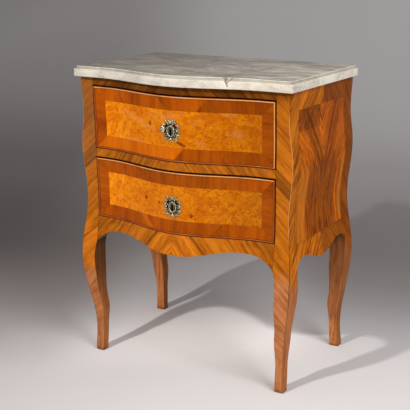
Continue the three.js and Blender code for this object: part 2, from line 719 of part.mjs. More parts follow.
const apronBackY = (x) => FRONT_CORNER_Y + FRONT_WAIST_SETBACK + APRON_THICKNESS - bowAt(x);
const apron = curvedBoard(RAIL_STATIONS, evenStations(0, 1, APRON_UPRIGHT_STEPS), (x, v, w) => {
  const z = lerp(frontApronBottom(x), BODY_BOTTOM, v);
  return [x, w ? frontY(x, z) : apronBackY(x), z];
});
addPart(commode, 'front_apron', withTenons('front_apron', apron), VENEER);

// Back of the case: boards between the rear posts, on two rails
const BACK_HALF = postInnerX(true) - SEAT_GAP;
const backBoardHeight = (CASE_TOP - BACK_BOTTOM + SEAT_GAP) / BACK_BOARD_COUNT;

for (const index of counted(BACK_BOARD_COUNT)) {
  const bottom = BACK_BOTTOM + index * backBoardHeight;
  const board = box(
    [-BACK_HALF, BACK_HALF],
    [BACK_BOARD_FRONT_Y, BACK_Y],
    [bottom, bottom + backBoardHeight - SEAT_GAP],
  );
  addPart(commode, `back_board_${index + 1}`, board, PINE);
}

const backRails = [
  ['top_back_rail', CASE_TOP - TOP_BACK_RAIL_HEIGHT, CASE_TOP],
  ['bottom_back_rail', BACK_BOTTOM, BACK_BOTTOM + BOTTOM_BACK_RAIL_HEIGHT],
];
for (const [name, bottom, top] of backRails) {
  const rail = box([-BACK_HALF, BACK_HALF], [BACK_RAIL_FRONT_Y, BACK_RAIL_BACK_Y], [bottom, top]);
  addPart(commode, name, withTenons(name, rail), PINE);
}

// Runners carry the drawers, guides keep them straight, and the panels lie in the runners
const RUNNER_OUTER = postInnerX(true) - SEAT_GAP;
const RUNNER_INNER = RUNNER_OUTER - RUNNER_WIDTH;
const RUNNER_BACK_Y = BACK_RAIL_FRONT_Y - SEAT_GAP;
const DRAWER_REAR_Y = BACK_RAIL_FRONT_Y - DRAWER_REAR_CLEARANCE;
const tiers = [
  { name: 'upper', top: UPPER_OPENING_BOTTOM, frontAt: () => RAIL_BACK_Y, panel: 'dust_board' },
  { name: 'lower', top: BODY_BOTTOM, frontAt: apronBackY, panel: 'bottom_board' },
];

for (const tier of tiers) {
  const runnerFront = Math.max(tier.frontAt(RUNNER_INNER), FRONT_POST_INNER_Y) + SEAT_GAP;
  const bottom = tier.top - RUNNER_HEIGHT;
  const grooveBottom = bottom + PANEL_GROOVE_RISE - SEAT_GAP;
  const grooveTop = bottom + PANEL_GROOVE_RISE + PANEL_THICKNESS + SEAT_GAP;
  const grooveEnd = RUNNER_INNER + PANEL_GROOVE_DEPTH;
  const outline = [
    [RUNNER_INNER, bottom],
    [RUNNER_OUTER, bottom],
    [RUNNER_OUTER, tier.top],
    [RUNNER_INNER, tier.top],
    [RUNNER_INNER, grooveTop],
    [grooveEnd, grooveTop],
    [grooveEnd, grooveBottom],
    [RUNNER_INNER, grooveBottom],
  ];
  for (const [side, sign] of [['left', -1], ['right', 1]]) {
    const placed = outline.map(([x, z]) => [sign * x, z]);
    const runner = prismAlongY(placed, [runnerFront, RUNNER_BACK_Y]);
    addPart(commode, `${tier.name}_${side}_runner`, runner, PINE);
    const guideX = ordered(sign * HALF_OPENING, sign * RUNNER_OUTER);
    const guideZ = [tier.top + SEAT_GAP, tier.top + SEAT_GAP + GUIDE_HEIGHT];
    const guide = box(guideX, [runnerFront, RUNNER_BACK_Y], guideZ);
    addPart(commode, `${tier.name}_${side}_guide`, guide, PINE);
  }
  const halfPanel = grooveEnd - SEAT_GAP;
  const panelX = stationsBetween(-halfPanel, halfPanel, BOW_STATIONS);
  const panelZ = [bottom + PANEL_GROOVE_RISE, bottom + PANEL_GROOVE_RISE + PANEL_THICKNESS];
  const panel = curvedBoard(panelX, panelZ, (x, z, w) => [
    x,
    w ? tier.frontAt(x) + SEAT_GAP : RUNNER_BACK_Y,
    z,
  ]);
  addPart(commode, tier.panel, panel, PINE);

  // A batten across the runners, which the back of the closed drawer meets
  const stop = box(
    [-RAIL_HALF, RAIL_HALF],
    [DRAWER_REAR_Y + SEAT_GAP, RUNNER_BACK_Y],
    [tier.top + SEAT_GAP, tier.top + SEAT_GAP + STOP_HEIGHT],
  );
  addPart(commode, `${tier.name}_drawer_stop`, stop, PINE);
}

// Rails under the marble at the sides, which also keep the upper drawer from tipping
for (const [side, sign] of [['left', -1], ['right', 1]]) {
  const railX = ordered(sign * (RUNNER_OUTER - TOP_SIDE_RAIL_WIDTH), sign * RUNNER_OUTER);
  const railZ = [CASE_TOP - TOP_SIDE_RAIL_HEIGHT, CASE_TOP];
  const rail = box(railX, [RAIL_BACK_Y + SEAT_GAP, RUNNER_BACK_Y], railZ);
  addPart(commode, `top_${side}_rail`, rail, PINE);
}

// Keyhole outline, [x, z] about the middle of its round end, grown all round by a clearance
function keyholeOutline(x, z, clearance) {
  const radius = KEYHOLE_RADIUS + clearance;
  const halfSlot = KEYHOLE_SLOT_WIDTH / 2 + clearance;
  const start = Math.asin(halfSlot / radius);
  const outline = [];
  for (let i = 0; i <= KEYHOLE_STEPS; i += 1) {
    const angle = lerp(start, 2 * Math.PI - start, i / KEYHOLE_STEPS) - Math.PI / 2;
    outline.push([x + radius * Math.cos(angle), z + radius * Math.sin(angle)]);
  }
  const slotBottom = z - KEYHOLE_SLOT_LENGTH - clearance;
  return [...outline, [x - halfSlot, slotBottom], [x + halfSlot, slotBottom]];
}

// A brass plate with a lobed edge, a raised ridge, a boss round the keyhole and pierced scrolls,
// bent to the bow of the drawer front. Rings run from the back of the edge over the front
// to the keyhole.
function keyholePlate(z) {
  const inner = keyholeOutline(0, 0, 0);
  const count = PLATE_STEPS;
  const along = (outline, share) => {
    const angle = 2 * Math.PI * share;
    const ray = new THREE.Vector2(Math.sin(angle), Math.cos(angle));
    let reach = 0;
    outline.forEach(([x1, z1], index) => {
      const [x2, z2] = outline[(index + 1) % outline.length];
      const cross = (x2 - x1) * ray.y - (z2 - z1) * ray.x;
      if (cross === 0) {
        return;
      }
      const distance = ((x2 - x1) * z1 - (z2 - z1) * x1) / cross;
      const place = (ray.x * z1 - ray.y * x1) / cross;
      if (distance > 0 && place >= 0 && place <= 1) {
        reach = Math.max(reach, distance);
      }
    });
    return [reach * ray.x, reach * ray.y];
  };
  const lobed = (share, size) => {
    const angle = 2 * Math.PI * share;
    const lobe = PLATE_LOBE * Math.abs(Math.cos((PLATE_WAVE_COUNT * angle) / 2)) - PLATE_LOBE;
    return [
      size * (PLATE_HALF_WIDTH + lobe) * Math.sin(angle),
      size * (PLATE_HALF_HEIGHT + lobe) * Math.cos(angle),
    ];
  };
  const rim = (share, grow) => {
    const [x, y] = along(inner, share);
    const length = Math.hypot(x, y);
    return [x * (1 + grow / length), y * (1 + grow / length)];
  };
  const rings = [
    [(share) => lobed(share, 1), 0],
    [(share) => lobed(share, 1), PLATE_RIM_THICKNESS],
    [(share) => lobed(share, PLATE_RIDGE_SHARE), PLATE_RIDGE_THICKNESS],
    [(share) => lobed(share, PLATE_DISH_SHARE), PLATE_DISH_THICKNESS],
    [(share) => rim(share, PLATE_BOSS_WIDTH), PLATE_BOSS_THICKNESS],
    [(share) => rim(share, 0), PLATE_BOSS_THICKNESS],
    [(share) => rim(share, 0), 0],
  ];
  const points = [];
  const triangles = [];
  rings.forEach(([outline, height], k) => {
    for (const i of counted(count)) {
      const [x, rise] = outline(i / count);
      points.push([x, frontY(x, z + rise) - SEAT_GAP - height, z + rise]);
      const j = (i + 1) % count;
      const [near, far] = [k * count, ((k + 1) % rings.length) * count];
      triangles.push([near + i, near + j, far + j], [near + i, far + j, far + i]);
    }
  });
  const y = [frontY(0, z) - FRONT_BOW, frontY(0, z) + FRONT_BOW];
  const holes = PLATE_HOLE_SHARES.map(([x, rise], index) => {
    const turn = PLATE_HOLE_TURNS[index];
    const outline = counted(PLATE_HOLE_STEPS).map((i) => {
      const angle = (2 * Math.PI * i) / PLATE_HOLE_STEPS;
      const long = PLATE_HOLE_RADIUS * PLATE_HOLE_STRETCH_SHARE * Math.cos(angle);
      const short = PLATE_HOLE_RADIUS * Math.sin(angle);
      return [
        x * PLATE_HALF_WIDTH + long * Math.cos(turn) - short * Math.sin(turn),
        z + rise * PLATE_HALF_HEIGHT + long * Math.sin(turn) + short * Math.cos(turn),
      ];
    });
    return prismAlongY(outline, y);
  });
  const pinHoles = pinPlaces(z).map(([x, height]) => pinHole(x, height, y));
  return cut(closedGeometry(points, triangles), ...holes, ...pinHoles);
}

function pinPlaces(z) {
  return PIN_PLACE_SHARES.map(([x, rise]) => [x * PLATE_HALF_WIDTH, z + rise * PLATE_HALF_HEIGHT]);
}

function pinHole(x, z, y) {
  const outline = counted(PIN_STEPS).map((i) => {
    const angle = (2 * Math.PI * i) / PIN_STEPS;
    return [x + PIN_HOLE_RADIUS * Math.cos(angle), z + PIN_HOLE_RADIUS * Math.sin(angle)];
  });
  return prismAlongY(outline, y);
}

// Where a pin's head meets the plate
const pinSeatY = (x, z) => frontY(x, z) - 2 * SEAT_GAP - PLATE_RIDGE_THICKNESS;

// A round-headed pin whose head bears on the plate
function platePin(x, z) {
  const profile = [
    [0, -PIN_LENGTH],
    [PIN_SHANK_RADIUS / 2, -PIN_LENGTH],
    [PIN_SHANK_RADIUS, -PIN_LENGTH + PIN_SHANK_RADIUS],
    [PIN_SHANK_RADIUS, 0],
    [PIN_HEAD_RADIUS, 0],
    [PIN_HEAD_RADIUS * Math.SQRT1_2, PIN_HEAD_HEIGHT * Math.SQRT1_2],
    [0, PIN_HEAD_HEIGHT],
  ].map(([radius, height]) => new THREE.Vector2(radius, height));
  return new THREE.LatheGeometry(profile, PIN_STEPS).rotateX(Math.PI).translate(x, pinSeatY(x, z), z);
}

// Drawers
const DRAWER_HALF = HALF_OPENING - DRAWER_END_GAP;

function addDrawer({ name, openingTop, openingBottom, keyholeDrop, boltProud }) {
  const group = new THREE.Group();
  commode.add(group);
  const top = openingTop - DRAWER_TOP_GAP;
  const bottom = openingBottom + DRAWER_BOTTOM_GAP;
  const runBottom = openingBottom + SEAT_GAP;
  const setback = Math.max(frontProfile(top), frontProfile(bottom), frontProfile((top + bottom) / 2));
  const frontBackY = FRONT_CORNER_Y + setback + DRAWER_FRONT_THICKNESS;
  const innerFaceY = (x) => frontBackY - bowAt(x);

  // Front: a full-size core behind a face that is let in all round for the bead
  const shell = (inset, outerDepth, innerY) => curvedBoard(
    stationsBetween(inset - DRAWER_HALF, DRAWER_HALF - inset, BOW_STATIONS),
    stationsBetween(bottom + inset, top - inset, HEIGHT_STATIONS),
    (x, z, w) => [x, w ? frontY(x, z) + outerDepth : innerY(x, z), z],
  );
  const core = shell(0, BEAD_DEPTH + SEAT_GAP, innerFaceY);
  const face = shell(BEAD_WIDTH + SEAT_GAP, 0, (x, z) => frontY(x, z) + BEAD_DEPTH + CUT_OVERRUN);

  // Bottom panel: let into the front and sides, and running under the back
  const panelBottom = runBottom + DRAWER_BOTTOM_RISE;
  const panelTop = panelBottom + DRAWER_BOTTOM_THICKNESS;
  const panelHalf = DRAWER_HALF - DRAWER_SIDE_THICKNESS + DRAWER_GROOVE_DEPTH;
  const bottomPanel = (grow) => curvedBoard(
    stationsBetween(-panelHalf - grow, panelHalf + grow, BOW_STATIONS),
    [panelBottom - grow, panelTop + grow],
    (x, z, w) => [
      x,
      w ? innerFaceY(x) - DRAWER_GROOVE_DEPTH - grow : DRAWER_REAR_Y + grow * CUT_OVERRUN,
      z,
    ],
  );

  // Dovetails on each end of a side. The lowest one at the front holds the bottom panel's groove.
  const sideTop = top - DRAWER_SIDE_TOP_DROP;
  const backTop = top - DRAWER_BACK_TOP_DROP;
  const backFrontY = DRAWER_REAR_Y - DRAWER_BACK_THICKNESS;
  const lowestTail = (panelBottom + panelTop) / 2;
  const highestTail = sideTop - (lowestTail - runBottom);
  const frontMiddles = evenStations(lowestTail, highestTail, TAIL_COUNT - 1);
  const backMiddles = counted(TAIL_COUNT).map((i) => lerp(panelTop, backTop, (i + 0.5) / TAIL_COUNT));
  const tailsAt = (rootY, endY, middles, grow) => middles.map((middle) => {
    const direction = Math.sign(endY - rootY);
    const root = rootY - direction * CUT_OVERRUN;
    const end = endY + direction * grow;
    const half = TAIL_HEIGHT / 2 + grow;
    return [
      [root, middle - half + TAIL_FLARE],
      [end, middle - half],
      [end, middle + half],
      [root, middle + half - TAIL_FLARE],
    ];
  });
  const tailRange = (sign, grow) => {
    const inner = sign * (DRAWER_HALF - DRAWER_SIDE_THICKNESS - grow);
    const outer = sign * (DRAWER_HALF + grow * CUT_OVERRUN);
    return ordered(inner, outer);
  };
  const frontTails = (grow) => tailsAt(frontBackY, frontBackY - TAIL_LENGTH, frontMiddles, grow);
  const backTails = (grow) => tailsAt(backFrontY, DRAWER_REAR_Y, backMiddles, grow);
  const tailPrisms = (tails, sign, grow) => (
    tails.map((outline) => prismAlongX(outline, tailRange(sign, grow)))
  );

  // Lock: let into the back of the front, with its bolt beside the keyhole
  const keyholeZ = top - keyholeDrop;
  const lockFrontY = lockFrontAt(top);
  const lockBottom = keyholeZ - LOCK_TAIL;
  const lockPocket = box(
    [-LOCK_WIDTH / 2 - SEAT_GAP, LOCK_WIDTH / 2 + SEAT_GAP],
    [lockFrontY - SEAT_GAP, frontBackY + CUT_OVERRUN],
    [lockBottom - SEAT_GAP, top + CUT_OVERRUN],
  );
  const throughY = [frontY(0, keyholeZ) - CUT_OVERRUN, frontBackY + CUT_OVERRUN];
  const keyholeCut = prismAlongY(keyholeOutline(0, keyholeZ, KEYHOLE_WOOD_CLEARANCE), throughY);
  const pinCuts = pinPlaces(keyholeZ).map(([x, z]) => {
    const seatY = pinSeatY(x, z);
    return pinHole(x, z, [seatY - CUT_OVERRUN, seatY + PIN_LENGTH + SEAT_GAP]);
  });

  const front = cut(
    join(core, face),
    bottomPanel(SEAT_GAP),
    ...tailPrisms(frontTails(SEAT_GAP), -1, SEAT_GAP),
    ...tailPrisms(frontTails(SEAT_GAP), 1, SEAT_GAP),
    lockPocket,
    keyholeCut,
    ...pinCuts,
  );
  addPart(group, `${name}_drawer_front`, front, BURL);

  for (const [side, sign] of [['left', -1], ['right', 1]]) {
    const inner = sign * (DRAWER_HALF - DRAWER_SIDE_THICKNESS);
    const outer = sign * DRAWER_HALF;
    const board = box(
      ordered(inner, outer),
      [frontBackY + SEAT_GAP, backFrontY - SEAT_GAP],
      [runBottom, sideTop],
    );
    const lengthened = join(
      board,
      ...tailPrisms(frontTails(0), sign, 0),
      ...tailPrisms(backTails(0), sign, 0),
    );
    addPart(group, `${name}_drawer_${side}_side`, cut(lengthened, bottomPanel(SEAT_GAP)), PINE);
  }

  const back = cut(
    box([-DRAWER_HALF, DRAWER_HALF], [backFrontY, DRAWER_REAR_Y], [panelTop + SEAT_GAP, backTop]),
    ...tailPrisms(backTails(SEAT_GAP), -1, SEAT_GAP),
    ...tailPrisms(backTails(SEAT_GAP), 1, SEAT_GAP),
  );
  addPart(group, `${name}_drawer_back`, back, PINE);
  addPart(group, `${name}_drawer_bottom`, bottomPanel(0), PINE);

  // Beads: four mitred strips with a rounded nose, in the rebate round the face
  const noseAt = (share) => lerp(BEAD_PROUD, BEAD_EDGE_PROUD, (2 * share - 1) ** 2);
  const beadPoint = (x, z, across, w) => [x, frontY(x, z) + (w ? -noseAt(across) : BEAD_DEPTH), z];
  const acrossBead = evenStations(0, 1, BEAD_STEPS);
  const beadHalf = DRAWER_HALF - SEAT_GAP;
  for (const [edge, from, inward] of [['top', top, -1], ['bottom', bottom, 1]]) {
    const strip = curvedBoard(stationsBetween(-beadHalf, beadHalf, BOW_STATIONS), acrossBead, (x, v, w) => {
      const mitred = Math.abs(x) === beadHalf ? x - Math.sign(x) * v * BEAD_WIDTH : x;
      return beadPoint(mitred, from + inward * v * BEAD_WIDTH, v, w);
    });
    addPart(group, `${name}_drawer_${edge}_bead`, strip, BEAD);
  }
  for (const [side, sign] of [['left', -1], ['right', 1]]) {
    const beadEnds = [bottom + SEAT_GAP, top - SEAT_GAP];
    const strip = curvedBoard(stationsBetween(...beadEnds, HEIGHT_STATIONS), acrossBead, (z, v, w) => {
      const inset = v * BEAD_WIDTH;
      const mitred = z + inset * ((z === beadEnds[0]) - (z === beadEnds[1]));
      return beadPoint(sign * (DRAWER_HALF - inset), mitred, v, w);
    });
    addPart(group, `${name}_drawer_${side}_bead`, strip, BEAD);
  }

  addPart(group, `${name}_escutcheon`, keyholePlate(keyholeZ), BRASS);
  pinPlaces(keyholeZ).forEach(([x, z], index) => {
    addPart(group, `${name}_escutcheon_pin_${index + 1}`, platePin(x, z), BRASS);
  });

  // Lock case with a channel for the bolt and a keyhole through its plate
  const lockBackY = lockFrontY + LOCK_THICKNESS;
  const boltY = lockFrontY + LOCK_PLATE;
  const boltBottom = top - BOLT_LENGTH + boltProud;
  const halfBolt = BOLT_WIDTH / 2;
  const channel = box(
    [BOLT_OFFSET - halfBolt - SEAT_GAP, BOLT_OFFSET + halfBolt + SEAT_GAP],
    [boltY - SEAT_GAP, boltY + BOLT_THICKNESS + SEAT_GAP],
    [boltBottom - SEAT_GAP, top + CUT_OVERRUN],
  );
  const lockCase = cut(
    box([-LOCK_WIDTH / 2, LOCK_WIDTH / 2], [lockFrontY, lockBackY], [lockBottom, top]),
    channel,
    prismAlongY(keyholeOutline(0, keyholeZ, 0), [lockFrontY - CUT_OVERRUN, lockBackY - LOCK_PLATE]),
  );
  addPart(group, `${name}_lock_case`, lockCase, IRON);
  const boltTop = top + boltProud;
  const boltOutline = [
    [BOLT_OFFSET - halfBolt, boltBottom],
    [BOLT_OFFSET + halfBolt, boltBottom],
    [BOLT_OFFSET + halfBolt, boltTop - BOLT_EDGE],
    [BOLT_OFFSET + halfBolt - BOLT_EDGE, boltTop],
    [BOLT_OFFSET - halfBolt + BOLT_EDGE, boltTop],
    [BOLT_OFFSET - halfBolt, boltTop - BOLT_EDGE],
  ];
  addPart(group, `${name}_lock_bolt`, prismAlongY(boltOutline, [boltY, boltY + BOLT_THICKNESS]), IRON);
}

addDrawer({
  name: 'upper',
  openingTop: UPPER_OPENING_TOP,
  openingBottom: UPPER_OPENING_BOTTOM,
  keyholeDrop: UPPER_KEYHOLE_DROP,
  boltProud: UPPER_BOLT_PROUD,
});
addDrawer({
  name: 'lower',
  openingTop: LOWER_OPENING_TOP,
  openingBottom: BODY_BOTTOM,
  keyholeDrop: LOWER_KEYHOLE_DROP,
  boltProud: LOWER_BOLT_PROUD,
});

export default commode;
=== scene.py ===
import math
from functools import partialmethod

import bpy
import numpy as np
from mathutils import Matrix, Vector


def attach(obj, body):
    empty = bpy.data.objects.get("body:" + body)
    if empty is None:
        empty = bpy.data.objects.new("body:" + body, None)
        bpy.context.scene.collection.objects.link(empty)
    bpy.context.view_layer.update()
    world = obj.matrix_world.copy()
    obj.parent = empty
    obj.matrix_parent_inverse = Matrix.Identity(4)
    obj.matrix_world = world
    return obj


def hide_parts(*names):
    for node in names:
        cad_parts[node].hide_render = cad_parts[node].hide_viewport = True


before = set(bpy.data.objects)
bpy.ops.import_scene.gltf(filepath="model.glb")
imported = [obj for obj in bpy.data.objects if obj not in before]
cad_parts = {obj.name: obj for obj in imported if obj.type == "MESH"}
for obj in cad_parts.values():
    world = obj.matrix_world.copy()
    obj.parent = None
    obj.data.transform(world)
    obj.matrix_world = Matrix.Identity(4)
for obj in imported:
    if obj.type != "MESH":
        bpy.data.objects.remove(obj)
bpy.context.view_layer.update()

MM = 0.001

# Sizes of the part, in millimetres
OVERALL_HEIGHT = 820.0
MARBLE_THICKNESS = 28.0
CASE_WIDTH = 612.0
CASE_DEPTH = 391.0
REAR_FLARE = 10.0
FRONT_BOW = 50.0
POST_WIDTH = 38.0
BOW_END_INSET = 28.0
SEAT_GAP = 0.3
CUT_OVERRUN = 5.0
MARBLE_BOTTOM = OVERALL_HEIGHT - MARBLE_THICKNESS
CASE_TOP = MARBLE_BOTTOM - SEAT_GAP
UPPER_OPENING_TOP = CASE_TOP - 22.0
UPPER_OPENING_BOTTOM = UPPER_OPENING_TOP - 171.5
LOWER_OPENING_TOP = UPPER_OPENING_BOTTOM - 23.0
BODY_BOTTOM = LOWER_OPENING_TOP - 168.0
HALF_CASE = CASE_WIDTH / 2
HALF_OPENING = HALF_CASE - POST_WIDTH
BOW_HALF_SPAN = HALF_OPENING - BOW_END_INSET

MARBLE_FRONT_OVERHANG = 18.0
MARBLE_SIDE_OVERHANG = 12.0
MARBLE_BACK_OVERHANG = 4.0
MARBLE_LIP_HEIGHT = 3.6
MARBLE_LIP_SETBACK = 9.0
MARBLE_HOLLOW_HEIGHT = 4.6
MARBLE_LIP_NOSE = 1.2
MARBLE_ARRIS = 1.5
MARBLE_CORNER_RADIUS = 7.0
OVERALL_DEPTH = MARBLE_FRONT_OVERHANG + FRONT_BOW + CASE_DEPTH + MARBLE_BACK_OVERHANG
BACK_Y = OVERALL_DEPTH / 2 - MARBLE_BACK_OVERHANG
FRONT_CORNER_Y = BACK_Y - CASE_DEPTH

POST_DEPTH = 44.0
POST_ARRIS = 1.0
LEG_ROUNDING = 4.0
FOOT_EDGE = 2.5
REAR_LEG_SHARE = 1.12
APRON_END_DROP = 68.0
SIDE_APRON_END_DROP = 62.0
SIDE_PANEL_THICKNESS = 18.0
SIDE_WAIST_HOLLOW = 2.5
FRONT_WAIST_SETBACK = 11.0
APRON_THICKNESS = 24.0
FRONT_RAIL_DEPTH = 60.0
BACK_BOARD_THICKNESS = 12.0
BACK_RAIL_THICKNESS = 20.0
TOP_BACK_RAIL_HEIGHT = 40.0
BOTTOM_BACK_RAIL_HEIGHT = 36.0
BOTTOM_BACK_RAIL_DROP = 18.0
TENON_LENGTH = 16.0
TENON_THICKNESS = 12.0
TENON_SHOULDER = 4.0
FRONT_TENON_SETBACK = 20.0
APRON_TENON_RISE = 14.0
TONGUE_LENGTH = 8.0
TONGUE_THICKNESS = 8.0
TONGUE_SETBACK = 8.0

DRAWER_TOP_GAP = 2.8
DRAWER_BOTTOM_GAP = 1.4
DRAWER_END_GAP = 1.5
DRAWER_REAR_GAP = 8.0
DRAWER_FRONT_THICKNESS = 22.0
DRAWER_SIDE_THICKNESS = 12.0
DRAWER_BOTTOM_THICKNESS = 7.0
DRAWER_BOTTOM_RISE = 12.0
DRAWER_GROOVE_DEPTH = 6.0
DRAWER_SIDE_TOP_DROP = 7.0
DRAWER_HALF = HALF_OPENING - DRAWER_END_GAP
TAIL_LENGTH = 11.0
TAIL_HEIGHT = 22.0
TAIL_FLARE = 4.0
TAIL_COUNT = 4
BEAD_WIDTH = 5.0
BEAD_DEPTH = 6.0
BEAD_PROUD = 2.4
BEAD_EDGE_PROUD = 0.6
KEYHOLE_Z = {"upper": 679.4, "lower": 481.4}
KEYHOLE_RADIUS = 3.4
KEYHOLE_SLOT_WIDTH = 4.0
KEYHOLE_SLOT_LENGTH = 11.0
KEYHOLE_WOOD_CLEARANCE = 0.8
LOCK_WIDTH = 64.0
LOCK_TAIL = 30.0
LOCK_FACE_COVER = 8.5
LOCK_PLATE = 1.6
BOLT_WIDTH = 17.0
BOLT_THICKNESS = 5.0
BOLT_OFFSET = 21.0
BOLT_CLEARANCE = 0.5
MORTISE_DEPTH = 11.0
PLATE_HALF_WIDTH = 26.5
PLATE_HALF_HEIGHT = 29.5
PIN_PLACE_SHARES = ((0, 0.72), (-0.68, -0.06), (0.68, -0.06))
PIN_LENGTH = 6.0
PIN_LIFT = 3.2
PIN_RADIUS = 0.8
PIN_HEAD_RADIUS = 1.7
PIN_HEAD_HEIGHT = 1.1
JOINT_HALF_WIDTH = 0.5
PIN_HOLE_RADIUS = 1.1
VOXEL = 0.42
OPENINGS = {"upper": (UPPER_OPENING_TOP, UPPER_OPENING_BOTTOM), "lower": (LOWER_OPENING_TOP, BODY_BOTTOM)}


def ease(share):
    return (1 - np.cos(np.pi * share)) / 2


def eased_curve(stations):
    """Reads a curve through (height, value) stations, with a level turn at each one."""
    heights, values = np.array(stations[::-1]).T

    def read(z):
        z = np.clip(z, heights[0], heights[-1])
        k = np.clip(np.searchsorted(heights, z, side="right") - 1, 0, len(heights) - 2)
        share = (z - heights[k]) / (heights[k + 1] - heights[k])
        return values[k] + (values[k + 1] - values[k]) * ease(share)

    return read


def body_height(share):
    return BODY_BOTTOM + (CASE_TOP - BODY_BOTTOM) * share


def leg_height(share):
    return BODY_BOTTOM * share


KNEE, ANKLE = leg_height(0.7), leg_height(0.17)
side_profile = eased_curve([
    (CASE_TOP, 0), (body_height(0.8), -3), (body_height(0.515), 7.5), (body_height(0.165), -2.5),
    (leg_height(0.74), 11.5), (ANKLE, -11.5), (0, -10),
])
front_profile = eased_curve([
    (CASE_TOP, 0), (body_height(0.553), 6.5), (body_height(0.11), 11), (KNEE, -6), (ANKLE, 21), (0, 17),
])
rear_profile = eased_curve([(KNEE, 0), (ANKLE, -0.5), (0, 3.5)])
rear_splay = eased_curve([(body_height(0.165), 0), (leg_height(0.72), 7), (ANKLE, 5.5), (0, 8)])


def bow_at(x):
    return FRONT_BOW * ease(1 - np.minimum(np.abs(x) / BOW_HALF_SPAN, 1))


def backward_share(y):
    return np.clip((y - FRONT_CORNER_Y) / CASE_DEPTH, 0, 1)


def front_y(x, z):
    return FRONT_CORNER_Y + front_profile(z) - bow_at(x)


def side_x(y, z):
    return HALF_CASE + side_profile(z) + (REAR_FLARE + rear_splay(z)) * backward_share(y)


def case_side_x(y):
    return HALF_CASE + REAR_FLARE * backward_share(y)


def drawer_edges(name):
    """Top and bottom of a drawer front."""
    top, bottom = OPENINGS[name]
    return top - DRAWER_TOP_GAP, bottom + DRAWER_BOTTOM_GAP


# Mesh building: a solid is (points, faces, material index of each face), in millimetres
def spaced(low, high, step):
    return np.linspace(low, high, max(2, int(round((high - low) / step)) + 1))


def outward(points, faces):
    """Turns all faces over if the solid is inside out."""
    volume = 0.0
    for face in faces:
        for a, b in zip(face[1:], face[2:]):
            volume += np.dot(points[face[0]], np.cross(points[a], points[b]))
    return faces if volume > 0 else [tuple(reversed(face)) for face in faces]


def board(us, vs, point_at, outer=0, others=1):
    """A curved board: point_at(u, v, w) gives its inner face at w = 0 and its outer one at w = 1."""
    grid_u, grid_v = np.meshgrid(us, vs, indexing="ij")
    layers = []
    for w in (0, 1):
        layers.append(np.stack([np.broadcast_to(c, grid_u.shape) for c in point_at(grid_u, grid_v, w)], -1))
    points = np.concatenate([layer.reshape(-1, 3) for layer in layers])
    last_u, last_v = len(us) - 1, len(vs) - 1

    def at(i, j, w):
        return w * len(us) * len(vs) + i * len(vs) + j

    faces, marks = [], []
    for i in range(last_u):
        for j in range(last_v):
            faces.append((at(i, j, 0), at(i, j + 1, 0), at(i + 1, j + 1, 0), at(i + 1, j, 0)))
            faces.append((at(i, j, 1), at(i + 1, j, 1), at(i + 1, j + 1, 1), at(i, j + 1, 1)))
            marks += [others, outer]
        faces.append((at(i, 0, 0), at(i + 1, 0, 0), at(i + 1, 0, 1), at(i, 0, 1)))
        faces.append((at(i, last_v, 0), at(i, last_v, 1), at(i + 1, last_v, 1), at(i + 1, last_v, 0)))
        marks += [others, others]
    for j in range(last_v):
        faces.append((at(0, j, 0), at(0, j, 1), at(0, j + 1, 1), at(0, j + 1, 0)))
        faces.append((at(last_u, j, 0), at(last_u, j + 1, 0), at(last_u, j + 1, 1), at(last_u, j, 1)))
        marks += [others, others]
    return points, outward(points, faces), marks


def loft(rings, marks_round=None, end_mark=0):
    """A skin over rings of equal count, with flat ends."""
    rings = np.asarray(rings, float)
    count = rings.shape[1]
    points = rings.reshape(-1, 3)
    faces, marks = [], []
    for k in range(len(rings) - 1):
        for i in range(count):
            j = (i + 1) % count
            faces.append((k * count + i, k * count + j, (k + 1) * count + j, (k + 1) * count + i))
            marks.append(marks_round[i] if marks_round else 0)
    faces.append(tuple(reversed(range(count))))
    faces.append(tuple(range(len(points) - count, len(points))))
    return points, outward(points, faces), marks + [end_mark, end_mark]


def block(x, y, z):
    """A rectangular cutter or tenon between two bounds on each axis."""
    return board(sorted(x), sorted(y), lambda u, v, w: (u, v, z[w]), 1, 1)


def prism(outline, low, high, axis, mark=1):
    """An outline carried along X or Y; it lists [y, z] or [x, z] points."""
    rings = []
    for level in (low, high):
        rings.append([(level, a, b) if axis == "x" else (a, level, b) for a, b in outline])
    points, faces, _ = loft(rings)
    return points, faces, [mark] * len(faces)


def merged(*solids):
    points, faces, marks = [], [], []
    start = 0
    for some_points, some_faces, some_marks in solids:
        points.append(some_points)
        faces += [tuple(start + i for i in face) for face in some_faces]
        marks += list(some_marks)
        start += len(some_points)
    return np.concatenate(points), faces, marks


def new_object(name, solid, materials):
    points, faces, marks = solid
    mesh = bpy.data.meshes.new(name)
    mesh.from_pydata((np.asarray(points) * MM).tolist(), [], [list(face) for face in faces])
    for material in materials:
        mesh.materials.append(material)
    mesh.polygons.foreach_set("material_index", list(marks))
    mesh.update()
    piece = bpy.data.objects.new(name, mesh)
    bpy.context.scene.collection.objects.link(piece)
    return piece


def modified(piece, kind, **settings):
    """Applies one modifier to the piece's mesh."""
    modifier = piece.modifiers.new(kind.lower(), kind)
    for name, value in settings.items():
        setattr(modifier, name, value)
    depsgraph = bpy.context.evaluated_depsgraph_get()
    mesh = bpy.data.meshes.new_from_object(piece.evaluated_get(depsgraph))
    piece.modifiers.clear()
    old, piece.data = piece.data, mesh
    bpy.data.meshes.remove(old)


def carve(piece, operation, *solids):
    """Joins solids to the piece or cuts them from it."""
    tool = new_object("tool", merged(*solids), piece.data.materials)
    modified(piece, "BOOLEAN", operation=operation, solver="EXACT", object=tool)
    bpy.data.objects.remove(tool)


def store(piece, name, values):
    """Keeps one value for each of the mesh's points, for a material to read."""
    piece.data.attributes.new(name, "FLOAT", "POINT").data.foreach_set("value", values)


def smooth_shaded(piece):
    piece.data.polygons.foreach_set("use_smooth", [True] * len(piece.data.polygons))


